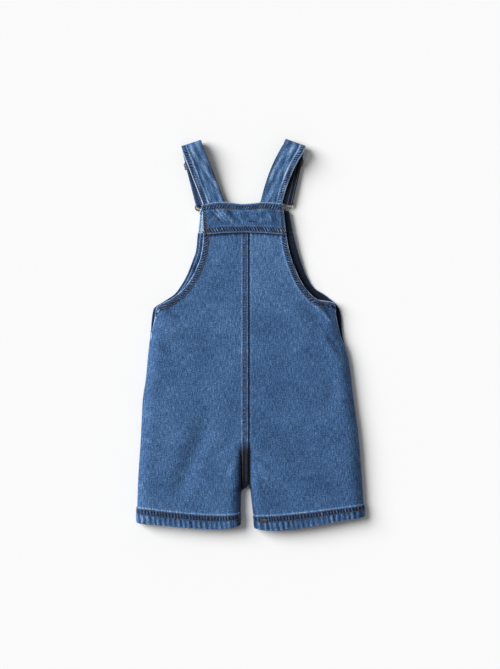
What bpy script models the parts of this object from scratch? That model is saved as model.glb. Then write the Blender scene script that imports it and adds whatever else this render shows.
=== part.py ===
"""Child's denim shortalls, laid face down on a surface with their back showing.

The garment is made of the pieces a maker would cut: two back panels joined by a felled
centre seam, two front panels under them, a yoke across the back, a matching band across
the bib, and two doubled shoulder straps that fold over and come down beneath to wire
hooks on the bib buttons. Sizes are in millimetres, turned to metres at the end.
+X is to the right with the back up, +Y is towards the shoulders and +Z is up. The origin
is the middle of the garment, on the surface that it lies on.
"""

import math
from collections import namedtuple

import bmesh
import bpy
import numpy as np

MM = 0.001

# Cloth and seams
PLY = 1.2
DOUBLE = 2.4
SEAM_GAP = 0.3
STEP = 0.6
FELL_WIDTH = 9.0
ARMHOLE_HEM = 7.0
LEG_HEM = 18.0

# Straps and hardware
STRAP_WIDTH = 30.0
STRAP_PLY = 2.2
STRAP_TUCK = 9.0
FOLD_RADIUS = 8.2
WIRE = 2.0
SLIDER_WIDTH = 34.6
SLIDER_HEIGHT = 9.5
SLIDER_THICKNESS = 1.6
SLIDER_BAR = 1.9
BUTTON_RADIUS = 8.5
BUTTON_HEAD = 2.2
SHANK_RADIUS = 2.5
BUTTON_SIDES = 20

# Colours, linear: washed mid-blue denim, and nickel plate
DENIM_BLUE = (0.055, 0.12, 0.26)
NICKEL = (0.55, 0.53, 0.50)

# Levels of the layers where the hooks cross them, from the surface upwards
MAIN_PLY_Z = STRAP_PLY / 2 + 0.05
HOOK_Z = MAIN_PLY_Z + STRAP_PLY / 2 + SEAM_GAP + WIRE / 2
RETURN_PLY_Z = HOOK_Z + WIRE / 2 + SEAM_GAP + STRAP_PLY / 2
TUCK_Z = RETURN_PLY_Z + STRAP_PLY + SEAM_GAP
YOKE_Z = TUCK_Z + STRAP_PLY / 2 + SEAM_GAP
BIB_Z = HOOK_Z + WIRE / 2 + SEAM_GAP + 0.05
BACK_TOP_Z = YOKE_Z - SEAM_GAP - PLY
BAND_PLY = 2.2

# Edges of the panels in plan. A row of the panel runs from its inner edge, at height y,
# out to the point x_side, y_side on its outer edge.
Edge = namedtuple("Edge", "y x_side y_side")

BACK_LEFT_EDGE = (
    Edge(150.8, -66.5, 147.3),
    Edge(142.0, -66.4, 138.5),
    Edge(127.8, -66.6, 127.8),
    Edge(106.8, -69.6, 108.2),
    Edge(88.6, -76.3, 90.0),
    Edge(71.8, -85.8, 72.5),
    Edge(57.8, -97.0, 59.2),
    Edge(45.2, -111.6, 47.8),
    Edge(32.6, -131.2, 35.8),
    Edge(22.8, -133.1, 22.8),
    Edge(8.8, -137.1, 8.1),
    Edge(-5.3, -139.6, -5.3),
    Edge(-16.5, -142.1, -16.5),
    Edge(-64.1, -146.9, -64.1),
    Edge(-92.1, -151.1, -92.1),
    Edge(-148.1, -153.9, -148.1),
    Edge(-206.9, -157.5, -203.0),
    Edge(-253.0, -158.9, -246.6),
    Edge(-266.1, -159.2, -263.4),
)

BACK_RIGHT_EDGE = (
    Edge(150.8, 49.7, 147.3),
    Edge(142.0, 50.6, 138.5),
    Edge(127.8, 51.9, 127.8),
    Edge(106.8, 56.4, 108.2),
    Edge(88.6, 62.9, 90.0),
    Edge(71.8, 71.4, 71.8),
    Edge(57.8, 81.6, 58.0),
    Edge(45.2, 93.9, 47.4),
    Edge(32.6, 117.2, 42.4),
    Edge(22.8, 119.7, 25.6),
    Edge(8.8, 123.3, 8.1),
    Edge(-5.3, 127.1, -5.3),
    Edge(-16.5, 132.3, -16.5),
    Edge(-38.9, 137.9, -38.9),
    Edge(-92.1, 144.6, -92.1),
    Edge(-148.1, 151.9, -147.0),
    Edge(-206.9, 155.8, -198.0),
    Edge(-240.5, 157.8, -227.0),
    Edge(-255.7, 158.9, -240.9),
    Edge(-269.9, 159.9, -254.5),
)

FRONT_LEFT_EDGE = (
    Edge(142.2, -73.8, 141.5),
    Edge(118.0, -76.2, 118.0),
    Edge(102.0, -81.5, 102.0),
    Edge(84.0, -88.6, 84.0),
    Edge(68.0, -97.6, 68.0),
    Edge(55.0, -106.5, 56.4),
    Edge(43.0, -120.8, 46.6),
    Edge(31.0, -135.9, 35.8),
    Edge(22.8, -138.4, 24.0),
    Edge(8.8, -139.9, 8.8),
    Edge(-5.3, -141.0, -5.3),
) + BACK_LEFT_EDGE[12:]

FRONT_RIGHT_EDGE = (
    Edge(142.3, 59.5, 142.9),
    Edge(118.0, 65.8, 118.0),
    Edge(98.4, 72.1, 98.4),
    Edge(80.4, 79.2, 80.4),
    Edge(64.3, 89.9, 64.3),
    Edge(54.0, 102.5, 56.4),
    Edge(44.0, 113.1, 48.4),
    Edge(36.0, 121.2, 41.2),
    Edge(29.0, 126.0, 32.0),
    Edge(19.1, 128.1, 19.1),
    Edge(4.8, 129.2, 4.8),
    Edge(-7.0, 130.3, -7.0),
) + BACK_RIGHT_EDGE[12:]

# Inner edges. Down to the crotch x_in is the centre seam and x_wall is where the leg
# starts to rise beside it. Below the crotch both follow the inside of the leg.
Inner = namedtuple("Inner", "y x_in x_wall")

LEFT_INNER = (
    Inner(151.0, -2.55, -13.95),
    Inner(-209.0, -2.55, -13.95),
    Inner(-212.5, -4.6, -14.1),
    Inner(-215.0, -8.6, -14.3),
    Inner(-217.5, -12.0, -14.5),
    Inner(-222.0, -14.2, -14.6),
    Inner(-230.0, -14.6, -14.9),
    Inner(-270.0, -15.2, -15.5),
)

RIGHT_INNER = (
    Inner(151.0, -2.25, -0.05),
    Inner(-190.0, -2.25, 0.2),
    Inner(-209.0, -2.25, 0.7),
    Inner(-212.5, -1.6, 1.0),
    Inner(-215.0, -0.6, 1.2),
    Inner(-217.5, 0.5, 1.4),
    Inner(-222.0, 1.3, 1.7),
    Inner(-230.0, 2.3, 2.6),
    Inner(-270.0, 6.7, 7.0),
)

# Heights of the inside of the back above the surface: over the middle of a panel, in the
# valley at the centre seam, and at the outer edge, with the width and the fullness of the
# roll that joins middle and edge. A fullness of 0.5 is round and 1.0 droops gently.
BackLevel = namedtuple("BackLevel", "y middle valley side roll fullness")

BACK_LEVELS = (
    BackLevel(150.8, BACK_TOP_Z, BACK_TOP_Z, BACK_TOP_Z - 0.2, 8.0, 1.0),
    BackLevel(139.0, BACK_TOP_Z, BACK_TOP_Z, BACK_TOP_Z - 0.3, 8.0, 1.0),
    BackLevel(127.8, 8.7, 8.7, 8.2, 8.0, 1.0),
    BackLevel(106.8, 9.3, 9.3, 8.0, 9.0, 1.0),
    BackLevel(71.8, 10.8, 10.8, 8.2, 10.0, 1.0),
    BackLevel(45.2, 12.2, 12.2, 8.8, 12.0, 1.0),
    BackLevel(32.6, 12.8, 12.8, 8.8, 14.0, 1.0),
    BackLevel(8.8, 13.8, 13.8, 7.4, 17.0, 0.9),
    BackLevel(-5.3, 14.3, 14.3, 6.2, 18.0, 0.7),
    BackLevel(-16.5, 14.8, 14.8, 4.9, 18.0, 0.5),
    BackLevel(-64.1, 16.0, 16.0, 4.9, 18.0, 0.5),
    BackLevel(-122.9, 16.8, 16.8, 4.9, 18.0, 0.5),
    BackLevel(-148.1, 17.0, 17.0, 4.9, 18.0, 0.5),
    BackLevel(-158.0, 17.0, 15.6, 4.9, 18.0, 0.5),
    BackLevel(-170.0, 17.0, 12.6, 4.9, 18.0, 0.5),
    BackLevel(-182.0, 16.9, 9.6, 4.9, 18.0, 0.5),
    BackLevel(-194.0, 16.8, 7.2, 4.9, 18.0, 0.5),
    BackLevel(-209.0, 16.6, 4.9, 4.9, 18.0, 0.5),
    BackLevel(-270.0, 15.6, 4.9, 4.9, 18.0, 0.5),
)

# Heights of the outside of the front, which lies on the surface: over the middle, and how
# far its centre edge and its outer edge curl up to meet the back.
FrontLevel = namedtuple("FrontLevel", "y middle centre side fullness")

FRONT_LEVELS = (
    FrontLevel(143.0, BIB_Z, 0.0, 0.0, 1.0),
    FrontLevel(135.0, BIB_Z, 0.0, 0.0, 1.0),
    FrontLevel(118.0, 4.1, 0.0, 0.0, 1.0),
    FrontLevel(102.0, 3.1, 0.0, 0.0, 1.0),
    FrontLevel(84.0, 1.8, 0.0, 0.0, 1.0),
    FrontLevel(68.0, 0.7, 0.0, 0.1, 1.0),
    FrontLevel(55.0, 0.1, 0.0, 0.3, 1.0),
    FrontLevel(45.0, 0.0, 0.0, 0.6, 1.0),
    FrontLevel(31.0, 0.0, 0.0, 1.2, 1.0),
    FrontLevel(8.8, 0.0, 0.0, 2.2, 0.9),
    FrontLevel(-5.3, 0.0, 0.0, 3.0, 0.7),
    FrontLevel(-16.5, 0.0, 0.0, 4.6, 0.5),
    FrontLevel(-190.0, 0.0, 0.0, 4.6, 0.5),
    FrontLevel(-212.0, 0.0, 4.6, 4.6, 0.5),
    FrontLevel(-270.0, 0.0, 4.6, 4.6, 0.5),
)
FRONT_ROLL = 9.0

# How far the rows of a leg sag below the straight line between their ends
Sag = namedtuple("Sag", "y left right")

LEG_SAG = (
    Sag(-190.0, 0.0, 0.0),
    Sag(-225.0, 2.5, 1.3),
    Sag(-254.0, 5.5, 3.0),
    Sag(-266.1, 6.9, 6.5),
    Sag(-269.9, 6.9, 8.0),
)

# Main folds of the back: soft troughs (below 0) and ridges, each along a straight run
Fold = namedtuple("Fold", "x_from y_from x_to y_to width height")

BACK_FOLDS = (
    Fold(-54.0, -108.0, -106.0, -238.0, 13.0, -3.2),
    Fold(-84.0, -118.0, -128.0, -215.0, 13.0, 1.0),
    Fold(-47.0, 38.0, -57.0, -80.0, 22.0, -1.4),
    Fold(-50.0, 128.0, -66.0, 82.0, 9.0, -1.0),
    Fold(-126.0, 22.0, -102.0, -6.0, 12.0, 1.4),
    Fold(-22.0, -150.0, -62.0, -178.0, 9.0, -1.2),
    Fold(10.0, -150.0, 52.0, -180.0, 9.0, -1.2),
    Fold(74.0, 46.0, 104.0, 14.0, 11.0, -1.7),
    Fold(58.0, 36.0, 92.0, 0.0, 12.0, 1.2),
    Fold(117.0, -48.0, 112.0, -108.0, 10.0, -1.4),
    Fold(69.0, -122.0, 84.0, -172.0, 10.0, -1.1),
    Fold(54.0, -150.0, 66.0, -220.0, 12.0, -0.9),
)

# Where the folds and hems fade out: each pair is where a form is gone and where it is full
CALM_SIDE = (6.0, 26.0)
CALM_SEAM = (14.0, 26.0)
CALM_YOKE = (138.0, 122.0)
BACK_HEM_FADE = (-14.0, -3.0)
FRONT_HEM_FADE = (-14.0, 6.0)

# The crotch: the centre seam ends at the first height, and below the second one each leg
# has its own inside seam, whose wall stands up from it by the rise
CROTCH_TOP = -209.0
CROTCH_END = -222.0
INSEAM_RISE = 2.4

# Columns of the panels, as distances from the inner or outer edge
FELLED_FLOOR = (0.0, FELL_WIDTH, FELL_WIDTH + STEP)
PLAIN_FLOOR = (0.0, 1.1)
WALL = (0.4, 2.4, 6.5, 13.0)
BACK_SIDE = (18.0, ARMHOLE_HEM + STEP, ARMHOLE_HEM, 4.0, 1.6, 0.4, 0.0)
FRONT_SIDE = (FRONT_ROLL, ARMHOLE_HEM + STEP, ARMHOLE_HEM, 4.0, 1.6, 0.4, 0.05, 0.0)
FRONT_CENTRE = (0.0, 0.05, 1.0, 4.0, FRONT_ROLL)
WALL_ROLL = WALL[-1]
MIDDLE_COLUMNS = 6

# Rows of the panels, as heights of their inner ends
YOKE_LAP_ROWS = (150.8, 142.6, 142.0)
BIB_ROWS = (130.0, 118.0, 106.0, 94.0, 83.0, 72.0, 63.0, 54.0, 46.0, 39.0, 32.6)
SLIT_ROWS = (22.0, 10.0, -3.0, -16.5)
SEAT_ROWS = (-34.0, -54.0, -74.0, -94.0, -114.0, -134.0, -148.1)
CROTCH_ROWS = (-160.0, -172.0, -184.0, -196.0, -209.0, -212.5, -215.0, -217.5, -222.0, -232.0)
FRONT_SEAT_ROWS = SEAT_ROWS[1::2] + (-172.0, -190.0) + CROTCH_ROWS[4:]
HEM_BOTTOM = {"left": -266.1, "right": -269.9}

# The yoke and the bib band, as points along their upper and lower edges
BandEdge = namedtuple("BandEdge", "x_top y_top x_bottom y_bottom")

YOKE_EDGES = (
    BandEdge(-68.4, 180.6, -66.1, 139.2),
    BandEdge(-54.0, 184.2, -52.0, 140.2),
    BandEdge(-38.6, 185.6, -38.0, 141.6),
    BandEdge(-11.2, 181.9, -10.0, 142.7),
    BandEdge(17.5, 185.0, 18.0, 141.9),
    BandEdge(32.0, 184.4, 35.0, 140.4),
    BandEdge(45.4, 182.4, 50.4, 139.2),
)

BIB_BAND_EDGES = (
    BandEdge(-70.7, 175.0, -73.8, 141.8),
    BandEdge(-8.0, 173.4, -8.0, 142.6),
    BandEdge(53.9, 172.6, 59.5, 143.2),
)
YOKE_COLUMNS = 18
BIB_BAND_COLUMNS = 8
BAND_ROWS = 5

# Routes of the straps in plan: where they leave the yoke, halfway, and the middle of the
# shoulder fold, then the middle of the hook's bar beneath
Route = namedtuple("Route", "yoke halfway fold hook slider_distance")

STRAP_ROUTES = {
    "left": Route((-51.8, 184.1), (-67.5, 225.4), (-83.3, 266.6), (-62.1, 184.0), 56.5),
    "right": Route((29.5, 185.7), (42.4, 226.3), (62.9, 267.6), (44.4, 187.2), 57.6),
}
TOP_RUN_STATIONS = 9
FOLD_STATIONS = 9
UNDER_RUN_STATIONS = 5
HOOK_LOOP_STATIONS = 6
RETURN_RUN_STATIONS = 4
RETURN_PAST_SLIDER = 7.0

# Half of the wire hook, from the middle of its strap bar round to the end of its narrow
# button loop: distance from its centre line, then distance from the bar
HOOK_HALF = (
    (0.0, 0.0), (8.0, 0.0), (15.0, 0.0), (16.3, 0.8), (16.5, 2.5), (16.3, 5.0),
    (15.0, 6.8), (12.5, 7.5), (9.6, 7.9), (8.0, 9.2), (6.8, 12.0), (5.4, 16.5),
    (4.4, 21.0), (4.2, 24.0), (3.6, 26.2), (2.1, 27.7), (0.0, 28.2),
)
BUTTON_DISTANCE = 24.4


def smooth(table, column, y):
    """Read a column of a table at height y, on a smooth curve that never overshoots."""
    rows = sorted(table, key=lambda row: row.y)
    keys = np.array([row.y for row in rows])
    values = np.array([getattr(row, column) for row in rows])
    y = min(max(y, keys[0]), keys[-1])
    spans = np.diff(keys)
    slopes = np.diff(values) / spans
    tangents = np.zeros(len(keys))
    tangents[0] = slopes[0]
    tangents[-1] = slopes[-1]
    for k in range(1, len(keys) - 1):
        if slopes[k - 1] * slopes[k] > 0.0:
            tangents[k] = 2.0 / (1.0 / slopes[k - 1] + 1.0 / slopes[k])
    k = min(int(np.searchsorted(keys, y, side="right")) - 1, len(spans) - 1)
    t = (y - keys[k]) / spans[k]
    start = (1.0 + 2.0 * t) * (1.0 - t) ** 2 * values[k] + t * (1.0 - t) ** 2 * spans[k] * tangents[k]
    end = t * t * (3.0 - 2.0 * t) * values[k + 1] - t * t * (1.0 - t) * spans[k] * tangents[k + 1]
    return float(start + end)


def ease(low, high, value):
    """Go softly from 0 at low to 1 at high."""
    t = min(max((value - low) / (high - low), 0.0), 1.0)
    return t * t * (3.0 - 2.0 * t)


def fold_height(x, y):
    """Sum of the main folds at a place of the back."""
    total = 0.0
    for fold in BACK_FOLDS:
        run = np.array([fold.x_to - fold.x_from, fold.y_to - fold.y_from])
        offset = np.array([x - fold.x_from, y - fold.y_from])
        length = np.linalg.norm(run)
        along = float(offset @ run) / length ** 2
        aside = float(run[0] * offset[1] - run[1] * offset[0]) / length
        taper = ease(-0.15, 0.3, along) * (1.0 - ease(0.7, 1.15, along))
        total += fold.height * taper * math.exp(-(aside / fold.width) ** 2)
    return total


def roll_off(distance, width, fullness):
    """Height of a rolled edge, from 0 at the edge to 1 at the given width from it."""
    t = min(max(distance / width, 0.0), 1.0)
    return (1.0 - (1.0 - t) ** 2) ** fullness


def columns(inner, outer, span):
    """Distances of a row's columns from its inner edge, for a row of the given span."""
    first = inner[-1]
    last = span - outer[0]
    middle = np.linspace(first, last, MIDDLE_COLUMNS + 2)[1:-1]
    return list(inner) + list(middle) + [span - distance for distance in outer]


def back_point(side, row, index):
    """Place on the inside of a back panel, with the cloth's thickness there."""
    left = side == "left"
    edge = BACK_LEFT_EDGE if left else BACK_RIGHT_EDGE
    inner = LEFT_INNER if left else RIGHT_INNER
    floor = FELLED_FLOOR if left else PLAIN_FLOOR
    sign = -1.0 if left else 1.0
    middle, valley, low_side, roll, fullness = (
        smooth(BACK_LEVELS, name, row) for name in BackLevel._fields[1:])
    seamed = 1.0 - ease(0.5, 0.9, fullness)
    x_in = smooth(inner, "x_in", row)
    x_wall = smooth(inner, "x_wall", row)
    x_out = smooth(edge, "x_side", row) - sign * PLY * seamed
    y_out = smooth(edge, "y_side", row)

    # The floor of the seam turns into the steep inside of the leg below the crotch
    floor_width = abs(x_wall - x_in)
    full_floor = abs(inner[0].x_wall - inner[0].x_in)
    leg = ease(CROTCH_TOP, CROTCH_END, row)
    wall_width = abs(x_out - x_wall)
    reach = columns((0.0,) + WALL, BACK_SIDE, wall_width)
    floor_count = len(floor)
    if index < floor_count:
        share = floor[index] / full_floor
        x = x_in + sign * floor_width * share
        from_in = floor_width * share
        z = valley + INSEAM_RISE * leg * share
        from_out = abs(x_out - x)
    else:
        distance = reach[index - floor_count]
        x = x_wall + sign * distance
        from_in = floor_width + distance
        from_out = wall_width - distance
        foot = valley + INSEAM_RISE * leg
        z = foot + (middle - foot) * roll_off(distance, WALL_ROLL, 0.5)
        z -= (middle - low_side) * (1.0 - roll_off(from_out, roll, fullness))

    u = (x - x_in) / (x_out - x_in)
    y = row + (y_out - row) * u
    y -= smooth(LEG_SAG, side, row) * math.sin(math.pi * max(u, 0.0) ** 0.6)
    calm = ease(*CALM_SIDE, from_out) * ease(*CALM_SEAM, from_in) * ease(*CALM_YOKE, row)
    z += calm * fold_height(x, y)

    hem_top = HEM_BOTTOM[side] + LEG_HEM
    thickness = PLY
    under_yoke = row > YOKE_LAP_ROWS[-1] + 0.1
    if from_out <= ARMHOLE_HEM + 0.01 and not under_yoke:
        thickness += (DOUBLE - PLY) * ease(*BACK_HEM_FADE, row)
    if left and from_in <= FELL_WIDTH + 0.01 and index < 2 and not under_yoke:
        thickness += (DOUBLE - PLY) * (1.0 - leg)
    if row <= hem_top + 0.01:
        thickness = DOUBLE
    return (x, y, z), thickness


def front_point(side, row, index):
    """Place on the outside of a front panel, with the cloth's thickness there."""
    left = side == "left"
    edge = FRONT_LEFT_EDGE if left else FRONT_RIGHT_EDGE
    inner = LEFT_INNER if left else RIGHT_INNER
    sign = -1.0 if left else 1.0
    middle, centre, high_side, fullness = (
        smooth(FRONT_LEVELS, name, row) for name in FrontLevel._fields[1:])
    leg = ease(CROTCH_TOP, CROTCH_END, row)
    x_in = smooth(inner, "x_in", row) - sign * PLY * leg
    x_out = smooth(edge, "x_side", row)
    y_out = smooth(edge, "y_side", row)
    span = abs(x_out - x_in)
    distance = columns(FRONT_CENTRE, FRONT_SIDE, span)[index]
    from_out = span - distance
    x = x_in + sign * distance
    u = distance / span
    y = row + (y_out - row) * u
    y -= smooth(LEG_SAG, side, row) * math.sin(math.pi * u ** 0.6)
    z = middle
    z += centre * (1.0 - roll_off(distance, FRONT_ROLL, 0.5))
    z += high_side * (1.0 - roll_off(from_out, FRONT_ROLL, fullness))

    thickness = PLY
    if from_out <= ARMHOLE_HEM + 0.01:
        thickness += (BAND_PLY - PLY) * ease(*FRONT_HEM_FADE, row)
    if row <= HEM_BOTTOM[side] + LEG_HEM + 0.01:
        thickness = DOUBLE
    return (x, y, z), thickness


def surface(name, colour, roughness, metallic):
    """Make a plain material."""
    material = bpy.data.materials.new(name)
    material.use_nodes = True
    shader = material.node_tree.nodes["Principled BSDF"]
    shader.inputs["Base Color"].default_value = (*colour, 1.0)
    shader.inputs["Roughness"].default_value = roughness
    shader.inputs["Metallic"].default_value = metallic
    return material


def finish_object(name, mesh, material, collection):
    """Put a mesh in the scene under its name."""
    piece = bpy.data.objects.new(name, mesh)
    piece.data.materials.append(material)
    collection.objects.link(piece)
    return piece


def cloth(name, column_count, row_count, place, material, collection, offset=1.0):
    """Shape a grid by place(column, row) and give it the thickness that place returns.

    The grid's normals are turned upwards, and the wall grows along them.
    """
    grid = bmesh.new()
    bmesh.ops.create_grid(grid, x_segments=column_count - 1, y_segments=row_count - 1, size=1.0)
    weights = []
    for vertex in grid.verts:
        column = round((vertex.co.x + 1.0) / 2.0 * (column_count - 1))
        row = round((vertex.co.y + 1.0) / 2.0 * (row_count - 1))
        point, thickness = place(column, row)
        vertex.co = [value * MM for value in point]
        weights.append(thickness / DOUBLE)
    grid.normal_update()
    if sum(face.normal.z * face.calc_area() for face in grid.faces) < 0.0:
        bmesh.ops.reverse_faces(grid, faces=grid.faces)
    mesh = bpy.data.meshes.new(name)
    grid.to_mesh(mesh)
    grid.free()
    piece = finish_object(name, mesh, material, collection)
    group = piece.vertex_groups.new(name="thickness")
    for index, weight in enumerate(weights):
        group.add([index], weight, "REPLACE")
    wall = piece.modifiers.new("Wall", "SOLIDIFY")
    wall.thickness = DOUBLE * MM
    wall.offset = offset
    wall.vertex_group = group.name
    wall.use_quality_normals = True
    return piece


def leg_rows(side):
    """Rows of the hem, from the step above it to its fold."""
    bottom = HEM_BOTTOM[side]
    top = bottom + LEG_HEM
    return (top + STEP, top, bottom + LEG_HEM / 2, bottom)


def make_panels(material, collection):
    """Cut the two back and the two front panels."""
    for side in ("left", "right"):
        floor = FELLED_FLOOR if side == "left" else PLAIN_FLOOR
        rows = YOKE_LAP_ROWS + BIB_ROWS + SLIT_ROWS + SEAT_ROWS + CROTCH_ROWS + leg_rows(side)
        count = len(floor) + 1 + len(WALL) + MIDDLE_COLUMNS + len(BACK_SIDE)
        cloth("back_" + side, count, len(rows),
              lambda column, row: back_point(side, rows[row], column), material, collection)

        top = FRONT_LEFT_EDGE[0].y if side == "left" else FRONT_RIGHT_EDGE[0].y
        front_rows = (top,) + BIB_ROWS + SLIT_ROWS + FRONT_SEAT_ROWS + leg_rows(side)
        count = len(FRONT_CENTRE) + MIDDLE_COLUMNS + len(FRONT_SIDE)
        cloth("front_" + side, count, len(front_rows),
              lambda column, row: front_point(side, front_rows[row], column),
              material, collection)


def make_band(name, edges, column_count, level, thickness, material, collection):
    """Make a straight band of doubled cloth between its upper and lower edges."""
    keys = np.linspace(0.0, 1.0, len(edges))

    def place(column, row):
        u = column / (column_count - 1)
        v = row / (BAND_ROWS - 1)
        x_top, y_top, x_bottom, y_bottom = (
            float(np.interp(u, keys, [getattr(edge, name) for edge in edges]))
            for name in BandEdge._fields)
        x = x_top + (x_bottom - x_top) * v
        y = y_top + (y_bottom - y_top) * v
        return (x, y, level), thickness

    return cloth(name, column_count, BAND_ROWS, place, material, collection)


def strap_stations(route):
    """Centre line of a strap with its direction in plan at each station.

    It starts under the yoke, folds over at the shoulder, runs down beneath, turns round
    the bar of the hook and ends past the slider.
    """
    yoke = np.array(route.yoke)
    halfway = np.array(route.halfway)
    fold = np.array(route.fold)
    hook = np.array(route.hook)
    top_z = MAIN_PLY_Z + 2.0 * FOLD_RADIUS
    up_under = (fold - hook) / np.linalg.norm(fold - hook)
    up_top = (fold - halfway) / np.linalg.norm(fold - halfway)
    turn = fold - FOLD_RADIUS * (up_under + up_top) / 2.0

    stations = []
    start = yoke - STRAP_TUCK * (halfway - yoke) / np.linalg.norm(halfway - yoke)
    leave = (halfway - yoke) / np.linalg.norm(halfway - yoke)
    stations.append((start, TUCK_Z, leave))
    stations.append((yoke + leave * 2.0, TUCK_Z, leave))
    control = 2.0 * halfway - (yoke + turn) / 2.0
    for k in range(1, TOP_RUN_STATIONS):
        t = k / TOP_RUN_STATIONS
        place = (1.0 - t) ** 2 * yoke + 2.0 * t * (1.0 - t) * control + t * t * turn
        heading = 2.0 * (1.0 - t) * (control - yoke) + 2.0 * t * (turn - control)
        lift = ease(0.0, 1.1, t) / ease(0.0, 1.1, 1.0)
        stations.append((place, TUCK_Z + (top_z - TUCK_Z) * lift, heading))
    for k in range(FOLD_STATIONS):
        share = k / (FOLD_STATIONS - 1)
        angle = math.pi * (0.5 - share)
        heading = up_top + (up_under - up_top) * share
        reach = FOLD_RADIUS * math.cos(angle)
        height = MAIN_PLY_Z + FOLD_RADIUS * (1.0 + math.sin(angle))
        stations.append((turn + reach * heading, height, heading))
    for k in range(1, UNDER_RUN_STATIONS + 1):
        stations.append((turn + (hook - turn) * k / UNDER_RUN_STATIONS, MAIN_PLY_Z, up_under))
    radius = (RETURN_PLY_Z - MAIN_PLY_Z) / 2.0
    for k in range(1, HOOK_LOOP_STATIONS + 1):
        angle = math.pi * k / HOOK_LOOP_STATIONS
        place = hook - up_under * radius * math.sin(angle)
        stations.append((place, HOOK_Z - radius * math.cos(angle), up_under))
    for k in range(1, RETURN_RUN_STATIONS + 1):
        distance = (route.slider_distance + RETURN_PAST_SLIDER) * k / RETURN_RUN_STATIONS
        drop = (RETURN_PLY_Z - STRAP_PLY / 2 - HOOK_Z - SLIDER_THICKNESS / 2 - SEAM_GAP)
        sink = drop * ease(0.0, route.slider_distance * 0.8, distance)
        stations.append((hook + up_under * distance, RETURN_PLY_Z - sink, up_under))
    return stations


def make_strap(side, material, collection):
    """Fold one strap of doubled cloth over the shoulder and round its hook."""
    stations = strap_stations(STRAP_ROUTES[side])

    def place(column, row):
        centre, height, heading = stations[row]
        heading = heading / np.linalg.norm(heading)
        aside = (column - 1) * STRAP_WIDTH / 2.0
        x = centre[0] + heading[1] * aside
        y = centre[1] - heading[0] * aside
        return (x, y, height), STRAP_PLY

    return cloth("strap_" + side, 3, len(stations), place, material, collection, offset=0.0)


def hardware_place(route, aside, down):
    """Place in plan of a point of the hook, from its bar's middle."""
    hook = np.array(route.hook)
    along = hook - np.array(route.fold)
    along = along / np.linalg.norm(along)
    across = np.array([-along[1], along[0]])
    return hook + across * aside + along * down


def make_hook(side, material, collection):
    """Bend the wire hook: a wide strap bar and a narrow button loop."""
    route = STRAP_ROUTES[side]
    half = list(HOOK_HALF)
    outline = half + [(-aside, down) for aside, down in half[-2:0:-1]]
    curve = bpy.data.curves.new("hook_" + side, "CURVE")
    curve.dimensions = "3D"
    curve.bevel_depth = WIRE / 2 * MM
    curve.bevel_resolution = 2
    curve.use_fill_caps = True
    spline = curve.splines.new("POLY")
    spline.points.add(len(outline) - 1)
    for point, (aside, down) in zip(spline.points, outline):
        x, y = hardware_place(route, aside, down)
        point.co = (x * MM, y * MM, HOOK_Z * MM, 1.0)
    spline.use_cyclic_u = True
    return finish_object("hook_" + side, curve, material, collection)


def make_slider(side, material, collection):
    """Punch the strap slider: a flat frame with two slots, between the strap's layers."""
    route = STRAP_ROUTES[side]
    half_width = SLIDER_WIDTH / 2.0
    half_height = SLIDER_HEIGHT / 2.0
    slot = (SLIDER_HEIGHT - 3.0 * SLIDER_BAR) / 2.0
    cuts_across = (-half_width, -half_width + SLIDER_BAR, half_width - SLIDER_BAR, half_width)
    cuts_along = (-half_height, -half_height + SLIDER_BAR, -SLIDER_BAR / 2.0,
                  SLIDER_BAR / 2.0, SLIDER_BAR / 2.0 + slot, half_height)
    grid = bmesh.new()
    bmesh.ops.create_grid(grid, x_segments=3, y_segments=5, size=1.0)
    slots = []
    for face in grid.faces:
        centre = face.calc_center_median()
        column = int((centre.x + 1.0) / 2.0 * 3)
        row = int((centre.y + 1.0) / 2.0 * 5)
        if column == 1 and row in (1, 3):
            slots.append(face)
    for vertex in grid.verts:
        aside = cuts_across[round((vertex.co.x + 1.0) / 2.0 * 3)]
        along = cuts_along[round((vertex.co.y + 1.0) / 2.0 * 5)]
        x, y = hardware_place(route, aside, -route.slider_distance + along)
        vertex.co = (x * MM, y * MM, HOOK_Z * MM)
    bmesh.ops.delete(grid, geom=slots, context="FACES")
    grid.normal_update()
    mesh = bpy.data.meshes.new("slider_" + side)
    grid.to_mesh(mesh)
    grid.free()
    piece = finish_object("slider_" + side, mesh, material, collection)
    plate = piece.modifiers.new("Plate", "SOLIDIFY")
    plate.thickness = SLIDER_THICKNESS * MM
    plate.offset = 0.0
    return piece


def make_button(side, material, collection):
    """Turn the bib button: a flat head on the surface and a shank up to the bib band."""
    route = STRAP_ROUTES[side]
    x, y = hardware_place(route, 0.0, BUTTON_DISTANCE)
    profile = (
        (0.0, 0.0), (BUTTON_RADIUS - 0.8, 0.0), (BUTTON_RADIUS, 0.7),
        (BUTTON_RADIUS - 0.2, 1.6), (BUTTON_RADIUS - 1.6, BUTTON_HEAD),
        (SHANK_RADIUS, BUTTON_HEAD), (SHANK_RADIUS, BIB_Z - SEAM_GAP), (0.0, BIB_Z - SEAM_GAP),
    )
    turned = bmesh.new()
    points = [turned.verts.new((radius * MM, 0.0, height * MM)) for radius, height in profile]
    edges = [turned.edges.new(pair) for pair in zip(points, points[1:])]
    bmesh.ops.spin(turned, geom=points + edges, cent=(0.0, 0.0, 0.0), axis=(0.0, 0.0, 1.0),
                   angle=2.0 * math.pi, steps=BUTTON_SIDES, use_merge=True)
    bmesh.ops.remove_doubles(turned, verts=turned.verts, dist=0.01 * MM)
    bmesh.ops.recalc_face_normals(turned, faces=turned.faces)
    mesh = bpy.data.meshes.new("button_" + side)
    turned.to_mesh(mesh)
    turned.free()
    piece = finish_object("button_" + side, mesh, material, collection)
    piece.location = (x * MM, y * MM, 0.0)
    return piece


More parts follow.
